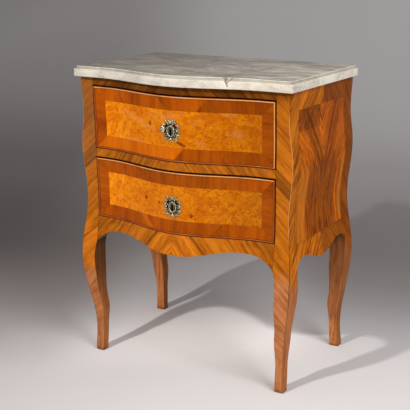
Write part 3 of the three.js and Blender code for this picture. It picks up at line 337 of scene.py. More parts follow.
def finish_piece(piece, body, node, arris=0.0, smooth=32.0):
    """Eases the sharp edges, shades the piece and hangs it on its body in place of a CAD node."""
    if arris:
        limit = math.radians(40)
        modified(piece, "BEVEL", width=arris * MM, segments=2, limit_method="ANGLE", angle_limit=limit)
    smooth_shaded(piece)
    piece.data.set_sharp_from_angle(angle=math.radians(smooth))
    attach(piece, body)
    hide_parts(node)


# Materials: a small arithmetic of node sockets. Places are in metres, colours are 0-255 display values
def linear(colour):
    return tuple((c / 255) ** 2.2 for c in colour) + (1.0,)


class Field:
    """A value or a colour in a material's node tree."""

    def __init__(self, sheet, socket):
        self.sheet = sheet
        self.socket = socket

    def op(self, kind, *others):
        return self.sheet.math(kind, self, *others)

    __add__ = __radd__ = partialmethod(op, "ADD")
    __sub__ = partialmethod(op, "SUBTRACT")
    __mul__ = __rmul__ = partialmethod(op, "MULTIPLY")
    __abs__ = partialmethod(op, "ABSOLUTE")
    maximum = partialmethod(op, "MAXIMUM")
    minimum = partialmethod(op, "MINIMUM")

    def __rsub__(self, other):
        return self.sheet.math("SUBTRACT", other, self)

    def step(self, low, high):
        """0 below low, 1 above high, smooth between; the other way round if low is above high."""
        node = self.sheet.node("ShaderNodeMapRange", Value=self, From_Min=low, From_Max=high)
        node.interpolation_type = "SMOOTHSTEP"
        return Field(self.sheet, node.outputs["Result"])

    def line(self):
        """1 where the field is nought and 0 at 0.9 mm from there."""
        return abs(self).step(0.0009, 0.0003)

    def between(self, low, high):
        """The colour low where the field is 0 and high where it is 1."""
        return self.sheet.mix(self, low, high)

    def mix(self, share, other):
        """This colour with a share of another."""
        return self.sheet.mix(share, self, other)

    def tint(self, brightness):
        return self.sheet.mix(1.0, self, self.sheet.vector(brightness, brightness, brightness), "MULTIPLY")


class Sheet:
    """One procedural material."""

    def __init__(self, name):
        self.material = bpy.data.materials.new(name)
        self.material.use_nodes = True
        self.tree = self.material.node_tree
        self.tree.nodes.clear()
        place = self.node("ShaderNodeTexCoord")
        parts = self.node("ShaderNodeSeparateXYZ")
        self.tree.links.new(place.outputs["Object"], parts.inputs[0])
        self.x, self.y, self.z = (Field(self, socket) for socket in parts.outputs)

    def node(self, kind, **inputs):
        node = self.tree.nodes.new(kind)
        for name, value in inputs.items():
            self.set(node.inputs[name.replace("_", " ")], value)
        return node

    def set(self, socket, value):
        """Links a field to the socket, or sets its value; three numbers are a display colour."""
        if isinstance(value, Field):
            self.tree.links.new(value.socket, socket)
        else:
            is_display = isinstance(value, tuple) and len(value) == 3
            socket.default_value = linear(value) if is_display else value

    def math(self, kind, *values):
        node = self.node("ShaderNodeMath")
        node.operation = kind
        for socket, value in zip(node.inputs, values):
            self.set(socket, value)
        return Field(self, node.outputs[0])

    def vector(self, x, y, z):
        return Field(self, self.node("ShaderNodeCombineXYZ", X=x, Y=y, Z=z).outputs[0])

    def noise(self, x, y, z, detail=3.0, rough=0.5, distortion=0.0):
        node = self.node(
            "ShaderNodeTexNoise", Vector=self.vector(x, y, z), Scale=1.0, Detail=detail, Roughness=rough,
            Distortion=distortion,
        )
        return Field(self, node.outputs[0])

    def grit(self, scale, detail=3.0, rough=0.5, offset=0.0):
        """Noise of one scale in all directions."""
        return self.noise(self.x * scale, self.y * scale, self.z * scale + offset, detail, rough)

    def cells(self, x, y, z):
        """Distance to the nearest of scattered points, and a random value for that point."""
        node = self.node("ShaderNodeTexVoronoi", Vector=self.vector(x, y, z), Scale=1.0)
        return Field(self, node.outputs["Distance"]), Field(self, node.outputs["Color"])

    def stored(self, name):
        """A value kept on the mesh's points."""
        node = self.node("ShaderNodeAttribute")
        node.attribute_name = name
        return Field(self, node.outputs["Fac"])

    def ramp(self, value, low, high, stops, kind="LINEAR"):
        """Reads a table of (place, grey) stops between low and high."""
        node = self.node("ShaderNodeValToRGB")
        node.color_ramp.interpolation = kind
        elements = node.color_ramp.elements
        elements.remove(elements[-1])
        for index, (place, grey) in enumerate(stops):
            position = (place - low) / (high - low)
            element = elements[0] if index == 0 else elements.new(position)
            element.position = position
            element.color = (grey, grey, grey, 1.0)
        self.set(node.inputs[0], (value - low) * (1 / (high - low)))
        return Field(self, node.outputs[0])

    def mix(self, share, a, b, kind="MIX"):
        node = self.node("ShaderNodeMix")
        node.data_type = "RGBA"
        node.blend_type = kind
        # The share and the two colours; the sockets between are for other kinds of data
        for index, value in ((0, share), (6, a), (7, b)):
            self.set(node.inputs[index], value)
        return Field(self, node.outputs[2])

    def shader(self, colour, height, depth, roughness, **sockets):
        bump = self.node("ShaderNodeBump", Strength=1.0, Distance=depth * MM, Height=height)
        surface = self.node("ShaderNodeBsdfPrincipled", Base_Color=colour, Roughness=roughness, **sockets)
        self.tree.links.new(bump.outputs[0], surface.inputs["Normal"])
        self.tree.links.new(surface.outputs[0], self.node("ShaderNodeOutputMaterial").inputs[0])
        return self.material


def wood(sheet, along, across, seed, light, dark, broad=1.0, reach=30.0, crisp=1.0):
    """Colour and height of wood whose grain runs with `along`."""
    sway = sheet.noise(along * 5.0, across * 9.0, seed, 2.0) - 0.5
    swayed = across + sway * 0.012
    band = sheet.noise(along * 1.6, swayed * reach, seed + 3.1, 2.0) - 0.5
    streak = sheet.noise(along * 7.0, swayed * 115.0, seed + 5.3, 3.0, 0.6) - 0.5
    fibre = sheet.noise(along * 20.0, swayed * 360.0, seed + 7.7, 3.0, 0.6)
    fleck = sheet.noise(along * 45.0, across * 150.0, seed + 4.7, 3.0, 0.65) - 0.5
    pore = sheet.noise(along * 60.0, swayed * 1700.0, seed + 9.3, 2.0).step(0.56, 0.70)
    cloud = sheet.noise(along * 9.0, across * 12.0, seed + 1.9, 2.0)
    tone = band * (1.3 * broad) + (streak * 1.15 + (fibre - 0.5) * 0.8 + fleck * 0.9) * crisp + 0.42
    colour = tone.step(0.0, 1.0).between(light, dark)
    return colour.tint((1.0 - pore * 0.22) * (0.86 + cloud * 0.28)), fibre - pore * 0.8


def lacquered(sheet, colour, height, roughness=0.32, gloss=0.20, coat=0.03):
    """Amber shellac, hand-polished and a little worn."""
    wear = sheet.grit(45.0, 4.0, 0.6)
    return sheet.shader(
        colour, height, 0.05, wear * 0.16 + (roughness - 0.08),
        Specular_IOR_Level=gloss, Specular_Tint=(1.0, 0.62, 0.28, 1.0), Coat_Weight=coat, Coat_Roughness=0.12,
    )


# Darker over the lowest 12 mm of the legs, towards the floor
def foot_darkening(sheet):
    return 1.0 - sheet.z.step(0.012, 0.002) * 0.45


def dark_streaks(sheet, place, low, high, streaks):
    """Soft bands, listed as (middle, half width, strength) in millimetres."""
    stops = [(low * MM, 0.0)]
    for middle, half, strength in streaks:
        stops += [((middle - half) * MM, 0.0), (middle * MM, strength), ((middle + half) * MM, 0.0)]
    return sheet.ramp(place, low * MM, high * MM, stops)


def joints(sheet, place, low, high, pieces):
    """Tone of each length of veneer, listed as (where it begins, tone), and the dark lines between."""
    tones = sheet.ramp(place, low * MM, high * MM, [(at * MM, tone) for at, tone in pieces], "CONSTANT")
    lines = [(at, JOINT_HALF_WIDTH, 1.0) for at, _ in pieces[1:]]
    return tones, dark_streaks(sheet, place, low, high, lines)


def slanting(reach, z, angle):
    """Places along and across a grain that falls away from the middle at an angle."""
    turn = math.radians(angle)
    return reach * math.cos(turn) - z * math.sin(turn), reach * math.sin(turn) + z * math.cos(turn)


def chevrons(sheet, angle, low, high, pieces, streaks, seed, shift, crisp=1.0):
    """Front veneer in slanted lengths, and the places along and across its wavy grain."""
    along, across = slanting(abs(sheet.x), sheet.z, angle)
    place = across + sheet.x.step(0.001, -0.001) * (shift * MM)
    tones, lines = joints(sheet, place, low, high, pieces)
    ragged = sheet.noise(along * 8.0, across * 60.0, seed + 2.2, 3.0) - 0.5
    dark = dark_streaks(sheet, place + ragged * 0.010, low, high, streaks)
    wavy = across + (sheet.noise(along * 9.0, across * 9.0, seed + 6.1, 3.0) - 0.5) * 0.02
    colour, height = wood(
        sheet, along + tones * 0.7, wavy + tones * 0.3, seed, (206, 117, 29), (134, 62, 9), 0.6, 40.0, crisp,
    )
    return colour.tint(tones * (1.0 - lines * 0.5) * (1.0 - dark * 0.62)), height, along, wavy


def rail_veneer(name, *layout, rim=None):
    """The rails and the apron; rim is the height of a lower edge over a drawer, darkened with painted shade
    for the shadow in the gap.
    """
    sheet = Sheet(name)
    colour, height, _, _ = chevrons(sheet, *layout)
    if rim:
        # Painted shade along the lower edge, for the shadow in the gap over the drawer
        colour = colour.tint(1.0 - sheet.z.step((rim + 2.0) * MM, (rim + 0.8) * MM) * 0.65)
    return lacquered(sheet, colour, height)


def post_veneer(name, *layout, seed, shift):
    """The front of the posts; the wood is paler on the leg, its grain slanted and then upright."""
    sheet = Sheet(name)
    x, z, reach = sheet.x, sheet.z, abs(sheet.x)
    is_left = x.step(0.001, -0.001)
    colour, height, along, wavy = chevrons(sheet, *layout, seed, shift, 0.62)
    wander = sheet.noise(x * 6.0, z * 4.0, seed, 2.0) * 0.1
    leg_light, leg_dark = (204, 129, 81), (136, 76, 43)
    slanted, _ = wood(sheet, along, wavy, seed + 4.0, leg_light, leg_dark, 0.5, 90.0)
    upright, _ = wood(sheet, z, reach + wander, seed + 5.0, leg_light, leg_dark, 0.5, 60.0)
    colour = colour.mix((z - x * 0.125).step(0.312, 0.262), slanted.mix(z.step(0.120, 0.070), upright))

    # Painted shade: a dark line beside the openings, for the shadow in the gaps, fainter at the lower drawer
    # and on the left
    rail_middle = (UPPER_OPENING_BOTTOM + LOWER_OPENING_TOP) / 2 * MM
    beside = z.step((BODY_BOTTOM - 0.5) * MM, (BODY_BOTTOM + 0.5) * MM)
    beside = beside * abs(z - rail_middle).step(0.011, 0.012)
    beside = beside * z.step(UPPER_OPENING_TOP * MM, (UPPER_OPENING_TOP - 1.0) * MM)
    line = reach.step((HALF_OPENING + 2.2) * MM, (HALF_OPENING + 1.0) * MM) * beside
    line = line * (z.step(0.585, 0.600) * 0.5 + 0.5) * (1.0 - is_left * 0.5)

    # Painted light and shade: the left post is darker above and paler on the knee; the right one is dark
    # under the marble with its painted shadow
    left_shade = z.step(0.34, 0.42) * 0.44 + z.step(0.54, 0.66) * 0.20 - 0.34 + z.step(0.28, 0.24) * 0.44
    shade = is_left * left_shade + (1.0 - is_left) * z.step(0.745, 0.788) * 0.5
    colour = colour.mix(is_left * z.step(0.5, 0.62) * 0.25, (160, 112, 76))
    colour = colour.tint((1.0 - line * 0.8) * (1.0 - shade) * foot_darkening(sheet))
    return lacquered(sheet, colour, height)


def side_veneer(name):
    """The sides: slanted border pieces round a matched panel with the figure of a forked trunk."""
    sheet = Sheet(name)
    middle = 0.032
    half, low, high = 0.142, 0.401, 0.742
    y, z = sheet.y, sheet.z
    reach = abs(y - middle)
    is_rear = (y - middle).step(-0.001, 0.001)
    along, across = slanting(reach, z, 50)
    border, border_height = wood(
        sheet, along + is_rear * 0.4, across, 21.0, (212, 120, 20), (122, 54, 2), 1.0, 34.0, 1.15,
    )
    tones, lines = joints(sheet, across, 250, 700, [
        (250, 1.0), (330, 0.90), (392, 1.04), (470, 0.92), (548, 1.02), (590, 0.90), (628, 1.05), (664, 0.94),
    ])
    dark = dark_streaks(sheet, across, 250, 700, [
        (300, 5, 0.7), (404, 4, 0.5), (505, 4, 0.6), (560, 6, 0.5), (611, 4, 0.8), (645, 4, 0.7),
    ])
    border = border.tint(tones * (1.0 - lines * 0.45) * (1.0 - dark * 0.5) * (1.0 - is_rear * 0.48))
    border = border.mix(is_rear * 0.30, (140, 62, 6)).tint(1.0 + z.step(0.405, 0.385) * 0.24)

    # The forked figure: two dark branches that meet in a trunk
    rise = (z - 0.575).maximum(0.0)
    bend = sheet.noise(y * 14.0, z * 9.0, 2.7, 4.0) - 0.5
    offset = reach - rise * 0.60 + bend * 0.030
    figure, figure_height = wood(sheet, z, offset, 33.0, (200, 102, 8), (104, 44, 0), 0.5, 90.0, 1.3)
    forked = rise.step(0.0, 0.06)
    heart = abs(offset).step(0.100, 0.070) * (1.0 - forked) + abs(offset).step(0.050, 0.008) * forked
    veins = sheet.noise(z * 6.0 + bend, offset * 130.0, 35.0, 4.0, 0.62).step(0.44, 0.62)
    curls = sheet.noise(y * 40.0, z * 34.0, 36.0, 4.0, 0.6, 1.4).step(0.40, 0.66)
    heavy = heart * (0.36 + veins * 0.34 + curls * z.step(0.62, 0.70) * 0.26)
    patch = (y - 0.020).step(0.002, -0.002) * z.step(0.684, 0.688)
    slant = sheet.noise(y * 14.0 + z * 14.0, y * 90.0 - z * 60.0, 38.0, 3.0, 0.6, 0.5).step(0.42, 0.60)
    figure = figure.tint(1.20 - heavy).mix(patch * (0.30 + slant * 0.45), (88, 40, 6))
    figure = figure.mix(is_rear * rise.step(0.0, 0.08) * 0.22, (134, 54, 10))
    strip = (reach - (is_rear * 0.030 + 0.088)).step(-0.002, 0.006) * z.step(0.625, 0.550)
    pale, _ = wood(sheet, z, reach, 37.0, (222, 136, 40), (176, 92, 18), 0.5, 60.0)
    figure = figure.mix(strip * 0.65, pale)

    # The panel's edge and middle seam
    in_panel = (reach - half).step(0.0004, -0.0004) * z.step(low - 0.0004, low + 0.0004)
    in_panel = in_panel * z.step(high + 0.0004, high - 0.0004)
    upright = (reach - half).line() * z.step(low - 0.001, low) * z.step(high + 0.001, high)
    level = abs(z - high).minimum(abs(z - low)).line() * (reach - half).step(0.001, 0.0)
    seam = reach.step(0.0008, 0.0002) * (z - low).step(-0.0005, 0.0)
    colour = border.mix(in_panel, figure)
    height = border_height + (figure_height - border_height) * in_panel
    colour = colour.tint(1.0 - upright.maximum(level).maximum(seam * 0.4) * 0.45)
    leg, _ = wood(sheet, z, reach, 41.0, (194, 118, 62), (128, 68, 28), 0.6, 60.0)
    colour = colour.mix(z.step(0.345, 0.270), leg.tint(1.0 - is_rear * 0.25))
    return lacquered(sheet, colour.tint(foot_darkening(sheet)), height, gloss=0.07, coat=0.0)


def plain_leg(name, light, dark, seed, shadow):
    """Solid wood with its grain upright, on the inner faces of the posts and legs; darker higher up with
    painted shade under the case.
    """
    sheet = Sheet(name)
    colour, height = wood(sheet, sheet.z, sheet.x + sheet.y, seed, light, dark, 0.8, 60.0)
    # Painted shade, growing towards the top of the legs
    shade = sheet.z.step(0.08, 0.34) * shadow + sheet.z.step(0.31, 0.36) * 0.22
    return lacquered(sheet, colour.tint((1.0 - shade) * foot_darkening(sheet)), height, 0.42, gloss=0.12, coat=0.0)


def arris_highlight_and_wear(name):
    """The front corners of the case: pale above with a painted highlight and wear, dark where the veneers
    meet on the leg.
    """
    sheet = Sheet(name)
    grain = sheet.noise(sheet.x * 90.0, sheet.y * 90.0, sheet.z * 30.0, 4.0, 0.6)
    # Painted highlight and wear: the arris is pale between these heights
    highlight_and_wear = sheet.z.step(0.400, 0.450) * sheet.z.step(0.760, 0.720)
    pale = grain.step(0.30, 0.70).between((216, 150, 98), (190, 116, 60))
    colour = sheet.z.step(0.300, 0.230).between((96, 48, 18), (150, 92, 58)).mix(highlight_and_wear, pale)
    return lacquered(sheet, colour.tint(0.85 + grain * 0.3), grain, 0.26)


def drawer_veneer(drawer, seed, top_pieces, bottom_pieces, end_tones, sheen_share, scars):
    """Burl in a mitred cross-banded border, both in lengths of differing tone.

    Scars are dark spots, listed as (x, z, half width, half height, strength).
    """
    sheet = Sheet(f"{drawer}_drawer_veneer")
    band = 0.031
    top, bottom = drawer_edges(drawer)
    x, reach = sheet.x, abs(sheet.x)
    rise = sheet.z - (top + bottom) / 2 * MM
    from_end = (DRAWER_HALF - BEAD_WIDTH) * MM - reach
    from_level = ((top - bottom) / 2 - BEAD_WIDTH) * MM - abs(rise)
    depth = from_end.minimum(from_level)
    in_burl = depth.step(band - 0.0004, band + 0.0004)
    is_end = (from_level - from_end).step(-0.0003, 0.0003)
    is_top = rise.step(-0.001, 0.001)
    is_left = x.step(0.001, -0.001)

    # Burl: swirls, fine specks, bird's-eye dots, a few knots and pale hazy places of painted sheen
    swirl = sheet.noise(reach * 20.0, rise * 30.0, seed, 4.0, 0.6, 1.4)
    mottle = sheet.noise(x * 85.0, rise * 100.0, seed + 2.0, 4.0, 0.66, 0.8)
    speck = sheet.noise(x * 270.0, rise * 290.0, seed + 8.0, 2.0, 0.6)
    flame = sheet.noise(reach * 55.0 + rise * 20.0, rise * 12.0, seed + 4.0, 3.0, 0.55, 0.9)
    gold = swirl.step(0.30, 0.70).between((214, 110, 2), (240, 140, 14))
    gold = gold.mix(mottle.step(0.42, 0.68) * 0.8, (186, 86, 2))
    gold = gold.mix(flame.step(0.50, 0.72) * x.step(0.05, -0.16) * 0.6, (246, 158, 38))
    gold = gold.mix(speck.step(0.55, 0.70) * 0.55, (158, 68, 2))
    dot, dot_tone = sheet.cells(x * 190.0, rise * 210.0, seed)
    dots = dot.step(0.32, 0.12) * dot_tone.step(0.40, 0.60) * (x.step(-0.08, 0.12) * 0.75 + 0.25)
    knot, knot_tone = sheet.cells(x * 19.0, rise * 22.0, seed + 6.0)
    knots = (knot + mottle * 0.12).step(0.16, 0.07) * knot_tone.step(0.62, 0.66)
    gold = gold.mix(dots, (132, 56, 2)).mix(knots * 0.8, (88, 36, 6))
    for place, level, half_width, half_height, strength in scars:
        aside = abs(x - place * MM) * (1 / (half_width * MM))
        away = aside + abs(sheet.z - level * MM) * (1 / (half_height * MM)) + (mottle - 0.5) * 1.6
        gold = gold.mix(away.step(1.3, 0.5) * strength, (112, 42, 10))
    # Painted sheen in pale hazy places, and painted shade that darkens the burl towards the right
    painted_sheen = sheet.noise(x * 9.0 + rise * 9.0, rise * 16.0, seed + 9.0, 2.0, 0.5, 1.0).step(0.52, 0.70)
    seam = reach.step(0.0007, 0.0002)
    gold = gold.mix(painted_sheen * sheen_share, (226, 142, 76)).tint((1.0 - seam * 0.2) * (0.86 - x * 1.12))

    # Banding: the grain runs across the border
    lean = x - rise * (0.85 - is_left * 1.7)
    top_tone, top_line = joints(sheet, lean, -340, 340, top_pieces)
    bottom_tone, bottom_line = joints(sheet, lean, -340, 340, bottom_pieces)
    level_tone = bottom_tone + (top_tone - bottom_tone) * is_top
    level_line = bottom_line + (top_line - bottom_line) * is_top
    end_tone = is_left * (end_tones[0] - end_tones[1]) + end_tones[1]
    tone = level_tone + (end_tone - level_tone) * is_end
    along = rise + (x - rise) * is_end + (rise + 0.9 * x) * 0.2
    across = x + (rise - x) * is_end + tone * 0.5
    banding, band_height = wood(sheet, along, across, seed + 11.0, (191, 91, 7), (145, 58, 2), 1.0, 26.0, 0.6)
    banding = banding.tint(tone * (1.0 - level_line * (1.0 - is_end) * 0.4) * 1.65)
    banding = banding.mix(tone.step(0.70, 0.80) * 0.5, (216, 117, 15))
    mitre = (from_level - from_end).line() * 0.25
    colour = banding.tint(1.0 - mitre).mix(in_burl, gold)
    colour = colour.tint(1.0 - (depth - band).line() * 0.22)
    return lacquered(sheet, colour, band_height * (1.0 - in_burl) + mottle * in_burl * 0.7, 0.28)


def bead_wood(name, highlight_colour, strength):
    """Round-nosed bead with a painted highlight and wear along its crest and painted shade on its edge by the
    gap; the place across it is stored on the mesh.
    """
    sheet = Sheet(name)
    crest = sheet.stored("across")
    colour, height = wood(sheet, sheet.x + sheet.z, sheet.y, 61.0, (148, 70, 28), (88, 36, 12), 0.5, 90.0)
    highlight_and_wear = crest.step(0.18, 0.34) * crest.step(0.84, 0.68) * (sheet.grit(22.0).step(0.2, 0.55) * 0.5 + 0.5)
    # Painted highlight along the crest; painted shade darkens the edge towards the gap
    colour = colour.mix(highlight_and_wear * strength, highlight_colour).tint(crest.step(0.02, 0.16) * 0.8 + 0.2)
    return lacquered(sheet, colour, height, 0.24)


def carcass_wood(name, axis, seed, light=(196, 152, 102), dark=(146, 102, 60)):
    """Unpolished softwood, darkened by age, with the grain along one axis."""
    sheet = Sheet(name)
    x, y, z = sheet.x, sheet.y, sheet.z
    along, across = {"x": (x, z + y * 0.6), "y": (y, x + z * 0.7), "z": (z, x + y * 0.8)}[axis]
    colour, height = wood(sheet, along, across, seed, light, dark, 1.0, 55.0)
    stain = sheet.grit(7.0, 4.0, 0.6, seed)
    return sheet.shader(
        colour.tint(0.72 + stain * 0.5), height, 0.16, 0.62 + stain * 0.2, Specular_IOR_Level=0.3,
    )


def marble_stone(name):
    """Grey-taupe worn top with warm pale edges, faint smudges and one brown mark at the front."""
    sheet = Sheet(name)
    x, y, z = sheet.x, sheet.y, sheet.z
    cloud = sheet.noise(x * 9.0, y * 11.0, z * 11.0, 5.0, 0.6, 0.8)
    grain = sheet.grit(150.0, 4.0, 0.6)
    vein = abs(sheet.noise(x * 6.0 + 3.0, y * 7.5, z * 7.0, 4.0, 0.55, 1.4) - 0.5).step(0.014, 0.0)

    # Edges: a lip with a painted highlight over a hollow with painted shade, and painted light that makes
    # them paler towards the right and on the right-hand end
    smudge = sheet.noise(x * 24.0 + z * 20.0, y * 24.0, z * 70.0, 4.0, 0.62, 0.8).step(0.48, 0.72)
    scratch = sheet.noise(x * 40.0, y * 40.0, z * 420.0, 4.0, 0.65, 0.4).step(0.54, 0.68)
    painted_edge_light = 0.94 + x * 0.34 + x.step(0.312, 0.320) * y.step(-0.20, -0.12) * 0.12
    hollow = z.step(0.8115, 0.8135) * z.step(0.8172, 0.8160)
    lip = z.step(0.8164, 0.8172) * 0.12 + 0.98
    edge = cloud.step(0.32, 0.70).between((206, 194, 176), (232, 223, 206))
    edge = edge.mix(smudge * 0.55, (156, 154, 156)).tint((1.0 - hollow * 0.36) * painted_edge_light * lip)
    edge = edge.mix(scratch * 0.35, (160, 152, 142)).mix(vein * 0.22, (130, 124, 118))
    stem = abs(x - 0.1505 + (z - 0.806) * 0.35).step(0.0032, 0.0008) * z.step(0.797, 0.800)
    fork = abs(abs(x - 0.151) - (z - 0.806) * 0.8).step(0.0030, 0.0006) * z.step(0.804, 0.807)
    edge = edge.mix(stem.maximum(fork) * y.step(0.0, -0.1) * cloud.step(0.2, 0.5) * 0.85, (112, 92, 74))

    # Top: worn and streaky, with painted light that makes it lighter towards the right and the front; darkest
    # at the back on the left
    streak = sheet.noise(x * 7.0 + y * 5.0, y * 17.0 - x * 4.0, z * 30.0, 5.0, 0.72, 0.9)
    spots = sheet.noise(x * 55.0, y * 55.0, 4.4, 4.0, 0.6, 0.5).step(0.52, 0.68)
    worn = streak.step(0.32, 0.68).between((112, 103, 95), (174, 164, 150))
    worn = worn.mix(spots * 0.5, (96, 88, 80)).mix(vein * 0.3, (92, 86, 80))
    back_corner = x.step(-0.05, -0.20) * y.step(0.05, 0.19)
    worn = worn.tint(1.04 + x * 0.75 + x.step(0.08, 0.30) * 0.18 - y * 0.15 - back_corner * 0.16)
    on_top = z.step((OVERALL_HEIGHT - 1.4) * MM, (OVERALL_HEIGHT - 0.4) * MM)
    colour = edge.mix(on_top * 0.92, worn).tint(0.90 + grain * 0.2)
    pits = grain.step(0.62, 0.72)
    return sheet.shader(colour, grain - pits * 1.5, 0.10, 0.34 + cloud * 0.18, Specular_IOR_Level=0.4)


def aged_brass(name):
    """Cast brass gone silvery olive, dark in its hollows with patina and painted shade; the relief is stored
    on the mesh.
    """
    sheet = Sheet(name)
    spot = sheet.grit(400.0, 4.0, 0.6)
    patch = sheet.grit(210.0, 2.0, 0.5, 3.0).step(0.40, 0.56)
    tone = (sheet.stored("relief") + (spot - 0.5) * 0.5).step(0.28, 0.95) * (patch * 0.6 + 0.4)
    colour = tone.between((48, 42, 26), (226, 216, 178)).mix(spot.step(0.60, 0.72) * 0.5, (96, 98, 70))
    return sheet.shader(colour, spot, 0.06, 0.50 - tone * 0.18, Metallic=0.9)


def old_iron(name, dark, light, rusty):
    sheet = Sheet(name)
    spot = sheet.grit(160.0, 5.0, 0.65)
    rust = sheet.grit(38.0, 4.0, 0.6).step(0.5, 0.68)
    colour = spot.step(0.3, 0.7).between(dark, light).mix(rust * rusty, (104, 66, 42))
    return sheet.shader(colour, spot, 0.08, 0.40 + spot * 0.25, Metallic=0.8)


# Veneer layouts, in millimetres across the grain: angle, lowest and highest place, (start, tone) of
# each length, (middle, half width, strength) of each dark streak, seed, and shift of the left half
STILE = post_veneer(
    "stile_veneer", 42, 200, 800,
    [(200, 0.74), (319, 0.84), (434, 1.00), (495, 1.0), (596, 0.58), (628, 1.10), (655, 0.94), (700, 0.98)],
    [(344, 5, 0.7), (454, 6, 0.9), (536, 4, 0.3), (597, 3, 0.8), (612, 6, 0.4), (655, 3, 0.6),
     (709, 5, 0.35)], seed=11.0, shift=-10.0,
)
# The top rail's low tones are painted shadow of the marble's overhang
TOP_RAIL = rail_veneer(
    "top_rail_veneer", 50, 480, 740, [(480, 0.26), (540, 0.36), (585, 0.25), (640, 0.36), (690, 0.34)],
    [(520, 5, 0.6), (560, 5, 0.6), (612, 6, 0.7), (660, 5, 0.6)], 13.0, -14.0, rim=UPPER_OPENING_TOP,
)
MIDDLE_RAIL = rail_veneer(
    "middle_rail_veneer", 52, 340, 610, [(340, 1.02), (376, 0.84), (471, 0.76), (548, 0.92)],
    [(398, 4, 0.5), (430, 4, 0.35), (480, 4, 0.7), (500, 4, 0.6), (522, 4, 0.5), (571, 4, 0.4)],
    14.0, 3.0, rim=LOWER_OPENING_TOP,
)
APRON = rail_veneer(
    "apron_veneer", 52, 200, 500, [(200, 1.10), (286, 0.92), (320, 0.92), (395, 0.80), (450, 0.82)],
    [(292, 5, 0.8), (314, 4, 0.6), (360, 5, 0.3), (438, 6, 0.7)], 15.0, 1.0,
)
SIDE = side_veneer("side_veneer")
LEG_INNER = plain_leg("leg_inner_wood", (184, 112, 60), (122, 66, 32), 51.0, 0.74)
LEG_TAN = plain_leg("leg_tan_wood", (206, 128, 78), (126, 72, 40), 53.0, 0.50)
ARRIS = arris_highlight_and_wear("arris_highlight_and_wear")
BURL = {
    "upper": drawer_veneer(
        "upper", 5.0, [(-340, 0.60), (-120, 0.52), (27, 0.36), (191, 0.42)],
        [(-340, 0.76), (72, 0.46), (184, 0.40)], (0.54, 0.42), 0.40,
        [(-66, 691, 6, 8, 0.8), (21, 650, 6, 5.5, 0.8), (28, 646.5, 8, 6.5, 0.85), (35, 643, 7, 5, 0.75)],
    ),
    "lower": drawer_veneer(
        "lower", 9.0, [(-340, 0.52), (-60, 0.42), (90, 0.48), (260, 0.42)],
        [(-340, 0.52), (-150, 0.74), (-128, 0.52), (0, 0.44), (170, 0.49)], (0.54, 0.46), 0.05,
        [(-89, 491, 6, 8, 0.85), (-42, 486, 6, 6, 0.7), (52, 461, 7, 7, 0.8)],
    ),
}
# Beads with a strong and a weak painted highlight
BEAD_HIGHLIGHTED = bead_wood("bead_wood_highlighted", (240, 172, 108), 0.85)
BEAD_DARK = bead_wood("bead_wood", (186, 104, 50), 0.30)
PINE_X = carcass_wood("carcass_wood_across", "x", 71.0)
PINE_Y = carcass_wood("carcass_wood_deep", "y", 73.0)
# Painted shade: darker carcass wood on the side panels' inner face, edges and underside
PANEL_BACK = carcass_wood("carcass_wood_upright", "z", 75.0, (120, 82, 50), (78, 50, 30))
# Painted shade: darker carcass wood on the faces of rails, apron and drawer fronts that lie in the gaps and
# undersides
SHADED_EDGE_WOOD = carcass_wood("edge_wood_painted_shade", "x", 77.0, (112, 74, 44), (70, 42, 24))
MARBLE = marble_stone("marble")
BRASS = aged_brass("aged_brass")
IRON = old_iron("old_iron", (74, 72, 70), (118, 115, 111), 0.5)
STEEL = old_iron("worn_steel", (160, 150, 134), (216, 206, 188), 0.15)


# Places of tenons, mortises and grooves
FRONT_POST_INNER_Y = FRONT_CORNER_Y + POST_DEPTH
REAR_POST_INNER_Y = BACK_Y - POST_DEPTH
FRONT_SHOULDER = BODY_BOTTOM - APRON_END_DROP
SIDE_SHOULDER = BODY_BOTTOM - SIDE_APRON_END_DROP
BACK_RAIL_FRONT_Y = BACK_Y - BACK_BOARD_THICKNESS - SEAT_GAP - BACK_RAIL_THICKNESS
BACK_BOTTOM = BODY_BOTTOM - BOTTOM_BACK_RAIL_DROP
DRAWER_REAR_Y = BACK_RAIL_FRONT_Y - DRAWER_REAR_GAP
RAIL_HALF = HALF_OPENING - SEAT_GAP
RAIL_BACK_Y = FRONT_CORNER_Y + FRONT_RAIL_DEPTH
MARBLE_BACK_EDGE = BACK_Y + MARBLE_BACK_OVERHANG
SIGNS = {"left": -1, "right": 1}
TENON_HEIGHTS = {
    "top_front_rail": (False, UPPER_OPENING_TOP, CASE_TOP),
    "middle_front_rail": (False, LOWER_OPENING_TOP, UPPER_OPENING_BOTTOM),
    "front_apron": (False, FRONT_SHOULDER + APRON_TENON_RISE, BODY_BOTTOM),
    "top_back_rail": (True, CASE_TOP - TOP_BACK_RAIL_HEIGHT, CASE_TOP),
    "bottom_back_rail": (True, BACK_BOTTOM, BACK_BOTTOM + BOTTOM_BACK_RAIL_HEIGHT),
}


def arc(angle, count):
    """(1 - cosine, sine) at even steps from 0 to an angle."""
    angles = np.linspace(0, angle, count)
    return list(zip(1 - np.cos(angles), np.sin(angles)))


def turns(count):
    """Even steps of a full turn."""
    return np.linspace(0, 2 * math.pi, count + 1)[:-1]


# Marble top
def marble_outline():
    half_front, half_back = (case_side_x(y) + MARBLE_SIDE_OVERHANG for y in (FRONT_CORNER_Y, BACK_Y))
    front_edge = FRONT_CORNER_Y - MARBLE_FRONT_OVERHANG
    run = half_front - MARBLE_CORNER_RADIUS
    outline = [(x, front_edge - bow_at(x)) for x in spaced(-run, run, 5.0)]
    corner = [
        (run + MARBLE_CORNER_RADIUS * s, front_edge + MARBLE_CORNER_RADIUS * c)
        for c, s in arc(math.pi / 2, 9)[1:]
    ]
    outline += corner + [(half_back, MARBLE_BACK_EDGE), (-half_back, MARBLE_BACK_EDGE)]
    return np.array(outline + [(-x, y) for x, y in reversed(corner)])


